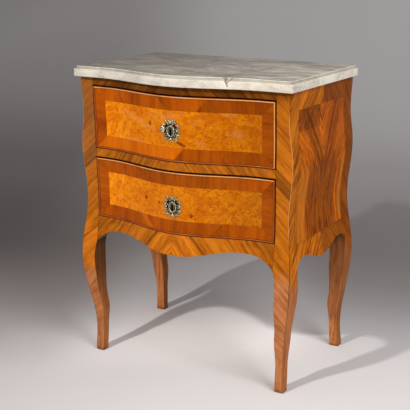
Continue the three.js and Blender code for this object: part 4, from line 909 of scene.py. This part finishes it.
def inset_outline(outline, inset):
    """Moves the outline inwards, but not away from the straight back."""
    edges = np.roll(outline, -1, 0) - outline
    after = np.stack([-edges[:, 1], edges[:, 0]], -1) / np.linalg.norm(edges, axis=1)[:, None]
    before = np.roll(after, 1, 0)
    moved = outline + inset * (before + after) / (1 + (before * after).sum(1))[:, None]
    at_back = outline[:, 1] == MARBLE_BACK_EDGE
    moved[at_back] = outline[at_back] - np.sign(outline[at_back]) * (inset, 0.0)
    return moved


def marble_levels():
    """Height and inset of each ring: a band with eased edges, then a hollow and a rounded lip."""
    hollow_top = OVERALL_HEIGHT - MARBLE_LIP_HEIGHT
    band_top = hollow_top - MARBLE_HOLLOW_HEIGHT
    quarter, fine_quarter, half = arc(math.pi / 2, 4), arc(math.pi / 2, 7)[1:], arc(math.pi, 9)[1:]
    levels = [(MARBLE_BOTTOM + MARBLE_ARRIS * c, MARBLE_ARRIS * (1 - s)) for c, s in quarter]
    levels += [(band_top - MARBLE_ARRIS * (1 - s), MARBLE_ARRIS * c) for c, s in quarter]
    setback = MARBLE_LIP_SETBACK - MARBLE_ARRIS
    levels += [(band_top + MARBLE_HOLLOW_HEIGHT * c, MARBLE_ARRIS + setback * s) for c, s in fine_quarter]
    return levels + [
        (hollow_top + MARBLE_LIP_HEIGHT * c / 2, MARBLE_LIP_SETBACK - MARBLE_LIP_NOSE * s) for c, s in half
    ]


def make_marble():
    outline = marble_outline()
    rings = [[(x, y, z) for x, y in inset_outline(outline, inset)] for z, inset in marble_levels()]
    piece = new_object("marble_top_slab", loft(rings), [MARBLE])
    finish_piece(piece, "root", "marble_top", smooth=40.0)


# Posts and legs
THIGH, CALF = leg_height(0.65), leg_height(0.37)
leg_width_curve = eased_curve([(THIGH, 41), (CALF, 32), (ANKLE, 24.5), (0, 26)])
LEG_DEPTHS = ((KNEE, 53), (CALF, 36), (ANKLE, 27), (0, 26))
leg_rounding = eased_curve([(FRONT_SHOULDER, POST_ARRIS), (ANKLE, LEG_ROUNDING)])
# Material of each side of the section: outer arris, front, inner faces, outer face
LEG_MARKS = {"front": [3] * 4 + [0] * 3 + [2] * 10 + [1] * 3, "rear": [1] * 2 + [2] * 9 + [4] * 6 + [1] * 3}


def post_inner_x(is_rear):
    return HALF_OPENING + (REAR_FLARE if is_rear else 0.0)


def tenon(name, sign, grow):
    is_rear, low, high = TENON_HEIGHTS[name]
    front = FRONT_CORNER_Y + FRONT_TENON_SETBACK
    if is_rear:
        front = BACK_RAIL_FRONT_Y + (BACK_RAIL_THICKNESS - TENON_THICKNESS) / 2
    inner = post_inner_x(is_rear)
    return block(
        (sign * (inner - CUT_OVERRUN), sign * (inner + TENON_LENGTH + grow)),
        (front - grow, front + TENON_THICKNESS + grow),
        (low + TENON_SHOULDER - grow, high - TENON_SHOULDER + grow),
    )


def panel_tongue(is_rear, sign, grow):
    ahead = 1 if is_rear else -1
    edge_y = REAR_POST_INNER_Y if is_rear else FRONT_POST_INNER_Y
    outer_x = case_side_x(edge_y) - TONGUE_SETBACK
    return block(
        (sign * (outer_x - TONGUE_THICKNESS - grow), sign * (outer_x + grow)),
        (edge_y - ahead * CUT_OVERRUN, edge_y + ahead * (TONGUE_LENGTH + grow)),
        (BODY_BOTTOM - grow, CASE_TOP - TENON_SHOULDER + grow),
    )


def leg_width(is_rear, z, shoulder_width):
    width = leg_width_curve(z) * (REAR_LEG_SHARE if is_rear else 1.0)
    if z <= THIGH:
        return width
    share = (FRONT_SHOULDER - z) / (FRONT_SHOULDER - THIGH)
    return shoulder_width + (width - shoulder_width) * (1 - (1 - share) ** 2)


def leg_section(is_rear, z, foot_inset):
    """One section of the right-hand front or rear post and leg, with rounded arrises."""
    ahead = 1 if is_rear else -1
    profile, base, inner_y = front_profile, FRONT_CORNER_Y, FRONT_POST_INNER_Y
    if is_rear:
        profile, base, inner_y = rear_profile, BACK_Y, REAR_POST_INNER_Y
    corner_y = base + profile(z)
    inner_x = post_inner_x(is_rear)
    if z < FRONT_SHOULDER:
        inner_x = side_x(corner_y, z) - leg_width(is_rear, z, side_x(corner_y, FRONT_SHOULDER) - inner_x)
    if z < SIDE_SHOULDER:
        shoulder = (SIDE_SHOULDER, abs(base + profile(SIDE_SHOULDER) - inner_y))
        inner_y = corner_y - ahead * eased_curve([shoulder, *LEG_DEPTHS])(z)
    rim_x, outer_y, rim_y = inner_x + foot_inset, corner_y - ahead * foot_inset, inner_y + ahead * foot_inset
    corners = np.array([
        (side_x(corner_y, z) - foot_inset, outer_y), (rim_x, outer_y),
        (rim_x, rim_y), (side_x(inner_y, z) - foot_inset, rim_y),
    ])
    ring = []
    for index, corner in enumerate(corners):
        start, end = (
            corner + (other - corner) * leg_rounding(z) / np.linalg.norm(other - corner)
            for other in (corners[index - 1], corners[(index + 1) % 4])
        )
        for t in np.linspace(0, 1, 5):
            ring.append((*(start * (1 - t) ** 2 + corner * 2 * t * (1 - t) + end * t ** 2), z))
    return ring


def make_leg(place, side):
    is_rear, sign = place == "rear", SIGNS[side]
    heights = [*np.linspace(CASE_TOP, SIDE_SHOULDER, 60)[:-1], *np.linspace(SIDE_SHOULDER, FOOT_EDGE, 72)]
    rings = [leg_section(is_rear, z, 0.0) for z in heights]
    rings += [leg_section(is_rear, FOOT_EDGE * (1 - s), FOOT_EDGE * c) for c, s in arc(math.pi / 2, 5)[1:]]
    solid = loft(np.array(rings) * (sign, 1, 1), LEG_MARKS[place], 2)
    piece = new_object(f"{place}_{side}_leg_shaped", solid, [STILE, SIDE, LEG_INNER, ARRIS, LEG_TAN])
    tools = [tenon(name, sign, SEAT_GAP) for name, (rear, *_) in TENON_HEIGHTS.items() if rear == is_rear]
    tools.append(panel_tongue(is_rear, sign, SEAT_GAP))
    carve(piece, "DIFFERENCE", *((points, faces, [2] * len(faces)) for points, faces, _ in tools))
    finish_piece(piece, "root", f"{place}_{side}_leg")


# Side panels, front rails and apron
# A shaped edge: drop of its centre, arches and ends, and where the flat centre and the arches end
FRONT_APRON_SHAPE = (55, 33, APRON_END_DROP, 0.06, 0.65)
SIDE_APRON_SHAPE = (69, 44, SIDE_APRON_END_DROP, 0.05, 0.74)


def apron_drop(share, centre, arch, end, flat, arch_share):
    """Drop of a shaped edge at a share of its half length from the middle."""
    reach = np.abs(share)
    lobed = centre + (arch - centre) * ease(np.clip((reach - flat) / (arch_share - flat), 0, 1))
    past = np.clip((reach - arch_share) / (1 - arch_share), 0, 1)
    return np.where(reach <= arch_share, lobed, arch + (end - arch) * past ** 3)


def make_side_panel(side):
    sign = SIGNS[side]

    def point_at(u, v, w):
        y = FRONT_POST_INNER_Y + SEAT_GAP + u * (REAR_POST_INNER_Y - FRONT_POST_INNER_Y - 2 * SEAT_GAP)
        low = BODY_BOTTOM - apron_drop(2 * u - 1, *SIDE_APRON_SHAPE)
        z = low + (CASE_TOP - low) * v
        inner = case_side_x(y) - SIDE_WAIST_HOLLOW - SIDE_PANEL_THICKNESS
        return sign * (side_x(y, z) if w else inner), y, z

    solid = board(spaced(0, 1, 1 / 56), spaced(0, 1, 1 / 60), point_at)
    piece = new_object(f"{side}_side_board", solid, [SIDE, PANEL_BACK])
    carve(piece, "UNION", panel_tongue(False, sign, 0.0), panel_tongue(True, sign, 0.0))
    finish_piece(piece, "root", f"{side}_side_panel")


def lock_front_at(drawer_top):
    return front_y(LOCK_WIDTH / 2, drawer_top) + LOCK_FACE_COVER


def bolt_mortise(opening_top):
    front = lock_front_at(opening_top - DRAWER_TOP_GAP) + LOCK_PLATE - BOLT_CLEARANCE
    half = BOLT_WIDTH / 2 + BOLT_CLEARANCE
    return block(
        (BOLT_OFFSET - half, BOLT_OFFSET + half),
        (front, front + BOLT_THICKNESS + 2 * BOLT_CLEARANCE),
        (opening_top - CUT_OVERRUN, opening_top + MORTISE_DEPTH),
    )


def make_rail(name, solid, material, *cuts):
    piece = new_object(f"{name}_bowed", solid, [material, SHADED_EDGE_WOOD])
    carve(piece, "UNION", tenon(name, -1, 0.0), tenon(name, 1, 0.0))
    if cuts:
        carve(piece, "DIFFERENCE", *cuts)
    finish_piece(piece, "root", name, arris=0.5)


def make_rails():
    for name, low, high, material in (
        ("top_front_rail", UPPER_OPENING_TOP, CASE_TOP, TOP_RAIL),
        ("middle_front_rail", LOWER_OPENING_TOP, UPPER_OPENING_BOTTOM, MIDDLE_RAIL),
    ):
        solid = board(
            spaced(-RAIL_HALF, RAIL_HALF, 4.0), spaced(low, high, 4.0),
            lambda x, z, w: (x, front_y(x, z) if w else RAIL_BACK_Y, z),
        )
        make_rail(name, solid, material, bolt_mortise(low))

    def point_at(x, v, w):
        low = BODY_BOTTOM - apron_drop(x / HALF_OPENING, *FRONT_APRON_SHAPE)
        z = low + (BODY_BOTTOM - low) * v
        back_y = FRONT_CORNER_Y + FRONT_WAIST_SETBACK + APRON_THICKNESS - bow_at(x)
        return x, front_y(x, z) if w else back_y, z

    make_rail("front_apron", board(spaced(-RAIL_HALF, RAIL_HALF, 3.5), spaced(0, 1, 1 / 14), point_at), APRON)


# Drawers
def keyhole_outline(z, clearance):
    radius = KEYHOLE_RADIUS + clearance
    half_slot = KEYHOLE_SLOT_WIDTH / 2 + clearance
    start = math.asin(half_slot / radius)
    angles = np.linspace(start, 2 * math.pi - start, 20) - math.pi / 2
    low = z - KEYHOLE_SLOT_LENGTH - clearance
    outline = [(radius * math.cos(a), z + radius * math.sin(a)) for a in angles]
    return outline + [(-half_slot, low), (half_slot, low)]


def pin_places(z):
    return [(x * PLATE_HALF_WIDTH, z + rise * PLATE_HALF_HEIGHT) for x, rise in PIN_PLACE_SHARES]


def make_drawer_front(name):
    top, bottom = drawer_edges(name)
    run_bottom = OPENINGS[name][1] + SEAT_GAP
    keyhole_z = KEYHOLE_Z[name]
    setback = max(front_profile(z) for z in (top, bottom, (top + bottom) / 2))
    back_y = FRONT_CORNER_Y + setback + DRAWER_FRONT_THICKNESS

    def shell(inset, outer_depth, inner_y, outer):
        return board(
            spaced(inset - DRAWER_HALF, DRAWER_HALF - inset, 3.6), spaced(bottom + inset, top - inset, 5.0),
            lambda x, z, w: (x, front_y(x, z) + outer_depth if w else inner_y(x, z), z), outer,
        )

    core = shell(0.0, BEAD_DEPTH + SEAT_GAP, lambda x, z: back_y - bow_at(x), 1)
    face = shell(BEAD_WIDTH + SEAT_GAP, 0.0, lambda x, z: front_y(x, z) + BEAD_DEPTH + CUT_OVERRUN, 0)
    panel_low = run_bottom + DRAWER_BOTTOM_RISE - SEAT_GAP
    panel_high = run_bottom + DRAWER_BOTTOM_RISE + DRAWER_BOTTOM_THICKNESS + SEAT_GAP
    panel_half = DRAWER_HALF - DRAWER_SIDE_THICKNESS + DRAWER_GROOVE_DEPTH + SEAT_GAP
    groove_front = back_y - DRAWER_GROOVE_DEPTH - SEAT_GAP
    groove = board(
        spaced(-panel_half, panel_half, 8.0), [panel_low, panel_high],
        lambda x, z, w: (x, groove_front - bow_at(x) if w else DRAWER_REAR_Y, z), 1,
    )
    cuts = [prism(
        keyhole_outline(keyhole_z, KEYHOLE_WOOD_CLEARANCE), front_y(0.0, keyhole_z) - CUT_OVERRUN,
        back_y + CUT_OVERRUN, "y",
    )]
    lowest = (panel_low + panel_high) / 2
    half = TAIL_HEIGHT / 2 + SEAT_GAP
    tip, root = back_y - TAIL_LENGTH - SEAT_GAP, back_y + CUT_OVERRUN
    inner, outer = DRAWER_HALF - DRAWER_SIDE_THICKNESS - SEAT_GAP, DRAWER_HALF + SEAT_GAP * CUT_OVERRUN
    for z in np.linspace(lowest, top - DRAWER_SIDE_TOP_DROP - (lowest - run_bottom), TAIL_COUNT):
        low, high = z - half, z + half
        outline = [(root, low + TAIL_FLARE), (tip, low), (tip, high), (root, high - TAIL_FLARE)]
        cuts += [prism(outline, -outer, -inner, "x"), prism(outline, inner, outer, "x")]
    pocket = block(
        (-LOCK_WIDTH / 2 - SEAT_GAP, LOCK_WIDTH / 2 + SEAT_GAP),
        (lock_front_at(top) - SEAT_GAP, back_y + CUT_OVERRUN),
        (keyhole_z - LOCK_TAIL - SEAT_GAP, top + CUT_OVERRUN),
    )
    for x, z in pin_places(keyhole_z):
        seat = front_y(x, z) - PIN_LIFT
        hole = [(x + PIN_HOLE_RADIUS * math.cos(a), z + PIN_HOLE_RADIUS * math.sin(a)) for a in turns(12)]
        cuts.append(prism(hole, seat - CUT_OVERRUN, seat + PIN_LENGTH + SEAT_GAP, "y"))
    piece = new_object(f"{name}_drawer_front_veneered", core, [BURL[name], SHADED_EDGE_WOOD])
    carve(piece, "UNION", face)
    carve(piece, "DIFFERENCE", groove, pocket)
    carve(piece, "DIFFERENCE", *cuts)
    finish_piece(piece, f"{name}_drawer", f"{name}_drawer_front")


def make_bead(name, edge, along, place):
    """A strip with a rounded nose; place(u, v) gives x and z at shares along and across it."""
    across = spaced(0, 1, 0.125)

    def point_at(u, v, w):
        x, z = place(u, v)
        nose = BEAD_PROUD + (BEAD_EDGE_PROUD - BEAD_PROUD) * (2 * v - 1) ** 2
        return x, front_y(x, z) + (-nose if w else BEAD_DEPTH), z

    # The top beads and the upper drawer's right bead get the strong painted highlight
    has_bright_highlight = edge == "top" or (name, edge) == ("upper", "right")
    solid = board(along, across, point_at, 0, 0)
    piece = new_object(f"{name}_drawer_{edge}_bead_round", solid, [BEAD_HIGHLIGHTED if has_bright_highlight else BEAD_DARK])
    store(piece, "across", np.tile(across, 2 * len(along)))
    finish_piece(piece, f"{name}_drawer", f"{name}_drawer_{edge}_bead")


def make_beads(name):
    top, bottom = drawer_edges(name)
    for edge, start, inward in (("top", top, -BEAD_WIDTH), ("bottom", bottom, BEAD_WIDTH)):
        make_bead(name, edge, spaced(-1, 1, 1 / 75), lambda u, v: (
            u * (DRAWER_HALF - SEAT_GAP - v * BEAD_WIDTH), start + inward * v,
        ))
    for edge, sign in SIGNS.items():
        make_bead(name, edge, spaced(0, 1, 1 / 34), lambda u, v: (
            sign * (DRAWER_HALF - v * BEAD_WIDTH),
            (bottom + SEAT_GAP + v * BEAD_WIDTH) * (1 - u) + (top - SEAT_GAP - v * BEAD_WIDTH) * u,
        ))


# Escutcheons: strokes of cast scrollwork, fused and pierced; places are from the keyhole
STROKE_FLATTENING = 0.85
SCROLL_LIFT = 1.1
LEAF_LIFT = 1.0
PLATE_SEAT = 0.05
RELIEF_HEIGHT = 3.0
CARTOUCHE_STRETCH = (1.12, 1.0, 1.06)


def stroke(path, radii):
    """A tube along (x, z, lift) points with a radius at each, a little flattened."""
    path = np.asarray(path, float)
    tangents = np.gradient(path[:, :2], axis=0)
    tangents /= np.linalg.norm(tangents, axis=1)[:, None] + 1e-9
    rings = []
    for (x, z, lift), (tx, tz), radius in zip(path, tangents, radii):
        ring = []
        for a in turns(10):
            out = radius * math.cos(a)
            ring.append((x - tz * out, -lift - STROKE_FLATTENING * radius * math.sin(a), z + tx * out))
        rings.append(ring)
    return loft(rings)


def scroll(x, z, radius, start, sweep, draw, thick):
    """A C-scroll round a centre, drawing in by a share of its radius as it goes."""
    path, radii = [], []
    for share in np.linspace(0, 1, 18):
        angle = math.radians(start + sweep * share)
        reach = radius * (1 - draw * share)
        path.append((x + reach * math.cos(angle), z + reach * math.sin(angle), SCROLL_LIFT))
        radii.append(thick * (0.62 + 0.38 * math.sin(math.pi * (0.25 + share * 0.75))))
    return stroke(path, radii)


def bulb(x, z, radius):
    """A small round drop at a scroll's end."""
    rings = []
    for polar in np.linspace(0.12, math.pi - 0.12, 7):
        out, y = radius * math.sin(polar), -LEAF_LIFT - radius * math.cos(polar)
        rings.append([(x + out * math.cos(a), y, z + out * math.sin(a)) for a in turns(10)])
    return loft(rings)


def leaf(x, z, angle, length, thick, bend):
    """A tapering leaf that curls to one side."""
    path, radii = [], []
    heading = math.radians(angle)
    steps = 9
    for share in np.linspace(0, 1, steps):
        path.append((x, z, LEAF_LIFT + 0.5 * math.sin(math.pi * share)))
        radii.append(thick * (0.55 + 0.75 * math.sin(math.pi * (0.15 + 0.72 * share))))
        heading += math.radians(bend) / steps
        x, z = x + length / steps * math.cos(heading), z + length / steps * math.sin(heading)
    return stroke(path, radii)


def oval_plate(half_width, half_height, z, levels):
    """An oval plate; levels lists (share of its size, y)."""
    return loft([
        [(s * half_width * math.cos(a), y, s * half_height * math.sin(a) + z) for a in turns(32)]
        for s, y in levels
    ])


SCROLLS = (
    (10.5, 15.5, 5.2, 200, -250, 0.35, 1.5), (16.5, 8.0, 5.6, 130, -260, 0.40, 1.6),
    (15.5, -4.5, 5.8, 100, -250, 0.35, 1.6), (12.0, -16.0, 5.4, 70, -250, 0.35, 1.6),
    (4.6, -22.0, 4.2, 20, -230, 0.40, 1.4), (4.4, 21.0, 4.2, 330, 240, 0.40, 1.4),
)
SIDE_LEAVES = (
    (9.5, 18.5, 62, 8.5), (15.5, 12.0, 28, 8.0), (18.0, 2.0, 5, 6.5), (17.0, -9.0, -22, 7.5),
    (13.0, -19.0, -58, 7.0),
)
BULBS = ((12.8, 4.0, 1.7), (10.8, -12.0, 1.6), (7.2, 14.8, 1.5), (6.5, -17.5, 1.5))
MIDDLE_LEAVES = (
    (16.0, 90, 10.5, 1.45), (16.0, 66, 9.0, 1.45), (16.0, 114, 9.0, 1.45), (16.0, 45, 7.0, 1.45),
    (16.0, 135, 7.0, 1.45), (-18.0, -90, 10.0, 1.4), (-18.0, -64, 8.0, 1.4), (-18.0, -116, 8.0, 1.4),
)
LOOSE_LEAVES = (
    (-15.0, 4.0, 170, 15.0, 1.5, 40), (-16.0, 0.0, 188, 17.0, 1.5, -35), (-17.0, -4.0, 200, 13.0, 1.5, -50),
    (-19.0, 6.0, 140, 9.0, 1.5, 60),
)


def cartouche(is_upper):
    """Scrollwork round a plain oval; the upper one has a spray of leaves on its left."""
    oval = [(9.2 * math.cos(a), 12.6 * math.sin(a) - 1.5, 1.5) for a in np.linspace(0, 2 * math.pi, 49)]
    parts = [
        stroke(oval, [1.5] * len(oval)),
        oval_plate(9.0, 12.4, -1.5, ((1.0, 0.4), (1.0, -1.1), (0.55, -1.6))),
        oval_plate(17.5, 21.0, -0.5, ((1.0, 0.4), (1.0, -0.5), (0.9, -0.7))),
    ]
    for side in (-1, 1):
        for x, z, radius, start, sweep, draw, thick in SCROLLS:
            begin = start if side > 0 else 180 - start
            parts.append(scroll(side * x, z, radius, begin, side * sweep, draw, thick))
        for x, z, angle, length in SIDE_LEAVES:
            parts.append(leaf(side * x, z, angle if side > 0 else 180 - angle, length, 1.25, 20 * side))
        parts += [bulb(side * x, z, radius) for x, z, radius in BULBS]
    parts += [leaf(0.0, z, angle, length, thick, 0) for z, angle, length, thick in MIDDLE_LEAVES]
    if is_upper:
        parts += [leaf(*spray) for spray in LOOSE_LEAVES]
        parts.append(bulb(-30.0, 3.5, 1.7))
    points, faces, marks = merged(*parts)
    return points * CARTOUCHE_STRETCH, faces, marks


def make_escutcheon(name):
    piece = new_object(f"{name}_escutcheon_cast", cartouche(name == "upper"), [BRASS])
    modified(piece, "REMESH", mode="VOXEL", voxel_size=VOXEL * MM)
    modified(piece, "SMOOTH", factor=0.5, iterations=3)
    carve(piece, "DIFFERENCE", prism(keyhole_outline(0, 0), -20, 20, "y", 0))
    x, y, rise = (np.array([v.co for v in piece.data.vertices]) / MM).T
    relief, z = np.maximum(-y, 0.0), rise + KEYHOLE_Z[name]
    placed = np.stack([x, front_y(x, z) - PLATE_SEAT - relief, z], -1)
    piece.data.vertices.foreach_set("co", (placed * MM).ravel())
    # Painted shade: the relief is lowered round the keyhole, so the brass there is dark
    near_hole = np.hypot(x / 3.8, (rise + 3.6) / 9.6)
    store(piece, "relief", np.clip(relief / RELIEF_HEIGHT, 0, 1) * np.clip((near_hole - 0.8) / 0.3, 0, 1))
    piece.data.update()
    finish_piece(piece, f"{name}_drawer", f"{name}_escutcheon", smooth=60.0)


def make_pin(name, number, x, z):
    """A round-headed brass pin, its head on the plate."""
    seat = front_y(x, z) - PIN_LIFT
    profile = [
        (0.1, PIN_LENGTH), (0.4, PIN_LENGTH), (PIN_RADIUS, PIN_LENGTH - PIN_RADIUS), (PIN_RADIUS, 0.0),
        (PIN_HEAD_RADIUS, 0.0),
    ]
    for angle in np.linspace(0.15, math.pi / 2 - 0.08, 6):
        profile.append((PIN_HEAD_RADIUS * math.cos(angle), -PIN_HEAD_HEIGHT * math.sin(angle)))
    rings = [
        [(x + radius * math.cos(a), seat + drop, z + radius * math.sin(a)) for a in turns(16)]
        for radius, drop in profile
    ]
    piece = new_object(f"{name}_escutcheon_pin_{number}_round", loft(rings), [BRASS])
    store(piece, "relief", [0.9] * len(piece.data.vertices))
    finish_piece(piece, f"{name}_drawer", f"{name}_escutcheon_pin_{number}", smooth=40.0)


make_marble()
for leg_place in ("front", "rear"):
    for leg_side in SIGNS:
        make_leg(leg_place, leg_side)
for panel_side in SIGNS:
    make_side_panel(panel_side)
make_rails()
for drawer in OPENINGS:
    make_drawer_front(drawer)
    make_beads(drawer)
    make_escutcheon(drawer)
    for pin_number, pin_place in enumerate(pin_places(KEYHOLE_Z[drawer]), 1):
        make_pin(drawer, pin_number, *pin_place)

# CAD pieces that keep their shape get their materials
LENGTHWISE = ("runner", "guide", "left_side", "right_side", "left_rail", "right_rail")
for node_name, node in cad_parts.items():
    if node.hide_render:
        continue
    if "bolt" in node_name:
        kept = STEEL
    elif "lock" in node_name:
        kept = IRON
    else:
        kept = PINE_Y if any(word in node_name for word in LENGTHWISE) else PINE_X
    node.data.materials.clear()
    node.data.materials.append(kept)

CAMERA_YAW = math.radians(27.41)
CAMERA_PITCH = math.radians(15.2)
CAMERA_ROLL = 0.01
PHOTO_WIDTH = 410
FOCAL_PIXELS = 907.5
CROP_SHIFT_PIXELS = -30
SENSOR_WIDTH = 36.0
LAMP_TARGET = (0.0, 0.0, 0.5)


def studio_paper():
    """Grey paper with painted light and shade: darkest behind the piece, lighter far off and to the right,
    with a painted pool of light under the case.
    """
    sheet = Sheet("studio_paper")
    mottling = sheet.grit(3.0, 4.0, 0.6)
    away = sheet.y * math.cos(CAMERA_YAW) - sheet.x * math.sin(CAMERA_YAW) + sheet.z * 0.6
    aside = sheet.x * math.cos(CAMERA_YAW) + sheet.y * math.sin(CAMERA_YAW)
    away = away - aside.step(-0.75, -0.15) * aside.step(0.75, 0.25) * 0.12
    left = sheet.ramp(away, -3.0, 6.0, [
        (-3.0, 0.56), (-0.2, 0.54), (0.10, 0.40), (0.32, 0.31), (0.6, 0.24), (1.07, 0.145), (2.0, 0.19),
        (3.2, 0.30), (5.2, 0.48),
    ], "CARDINAL")
    other = sheet.ramp(away, -3.0, 6.0, [
        (-3.0, 0.82), (-0.2, 0.82), (0.06, 0.74), (0.19, 0.62), (0.30, 0.52), (0.5, 0.40), (1.0, 0.335),
        (2.0, 0.47), (3.0, 0.60), (5.2, 0.68),
    ], "CARDINAL")
    level = left + (other - left) * aside.step(-0.95, 0.15)
    # A painted pool of light on the floor under the case
    below = aside.step(-0.50, -0.25) * aside.step(0.42, 0.15) * away.step(-0.30, 0.05) * away.step(1.2, 0.5)
    level = level * (1.0 + below * 0.42)
    hue = level.step(0.15, 0.70).between((1.0, 0.865, 0.835, 1.0), (1.0, 0.955, 0.945, 1.0))
    colour = hue.tint(level * (0.97 + mottling * 0.06))
    return sheet.shader(colour, mottling, 0.2, 0.75, Specular_IOR_Level=0.25)


def make_stage():
    """Floor and backdrop in one sweep."""
    floor_end, sweep = 2600, 1500
    profile = [(y, 0.0) for y in np.linspace(-7000, floor_end, 12)]
    profile += [(floor_end + sweep * s, sweep * c) for c, s in arc(math.pi / 2, 16)[1:]]
    profile.append((floor_end + sweep, 7000.0))
    points = np.array([(x, y, z) for x in (-9000, 9000) for y, z in profile], float)
    count = len(profile)
    faces = [(i, count + i, count + i + 1, i + 1) for i in range(count - 1)]
    floor = new_object("studio_floor", (points, faces, [0] * len(faces)), [studio_paper()])
    smooth_shaded(floor)


def linked(name, data):
    holder = bpy.data.objects.new(name, data)
    bpy.context.scene.collection.objects.link(holder)
    return holder


def add_lamp(name, place, size, watts, colour):
    lamp = bpy.data.lights.new(name, "AREA")
    lamp.shape = "SQUARE"
    lamp.size = size
    lamp.energy = watts
    lamp.color = colour
    holder = linked(name, lamp)
    holder.location = place
    holder.rotation_euler = (Vector(LAMP_TARGET) - Vector(place)).to_track_quat("-Z", "Y").to_euler()


make_stage()
add_lamp("key", (-0.69, -2.54, 2.2), 0.11, 57.0, (1.0, 0.985, 0.96))
add_lamp("fill", (2.5, -1.2, 2.5), 1.6, 62.0, (0.99, 0.99, 1.0))

scene = bpy.context.scene
scene.world = bpy.data.worlds.new("studio")
scene.world.use_nodes = True
background = scene.world.node_tree.nodes["Background"]
background.inputs["Color"].default_value = (0.80, 0.82, 0.85, 1.0)
background.inputs["Strength"].default_value = 0.38

# Camera at the photograph's angle
camera = linked("camera", bpy.data.cameras.new("camera"))
camera.data.sensor_width = SENSOR_WIDTH
camera.data.lens = SENSOR_WIDTH * FOCAL_PIXELS / PHOTO_WIDTH
camera.data.shift_x = CROP_SHIFT_PIXELS / PHOTO_WIDTH
camera.location = (1.1751, -2.1209, 1.0964)
level_right = Vector((math.cos(CAMERA_YAW), math.sin(CAMERA_YAW), 0.0))
ahead = Vector((
    -math.sin(CAMERA_YAW) * math.cos(CAMERA_PITCH), math.cos(CAMERA_YAW) * math.cos(CAMERA_PITCH),
    -math.sin(CAMERA_PITCH),
))
level_up = level_right.cross(ahead)
right = math.cos(CAMERA_ROLL) * level_right + math.sin(CAMERA_ROLL) * level_up
up = math.cos(CAMERA_ROLL) * level_up - math.sin(CAMERA_ROLL) * level_right
camera.rotation_euler = Matrix((right, up, -ahead)).transposed().to_euler()
scene.camera = camera
scene.view_settings.view_transform = "Standard"

bpy.context.view_layer.update()
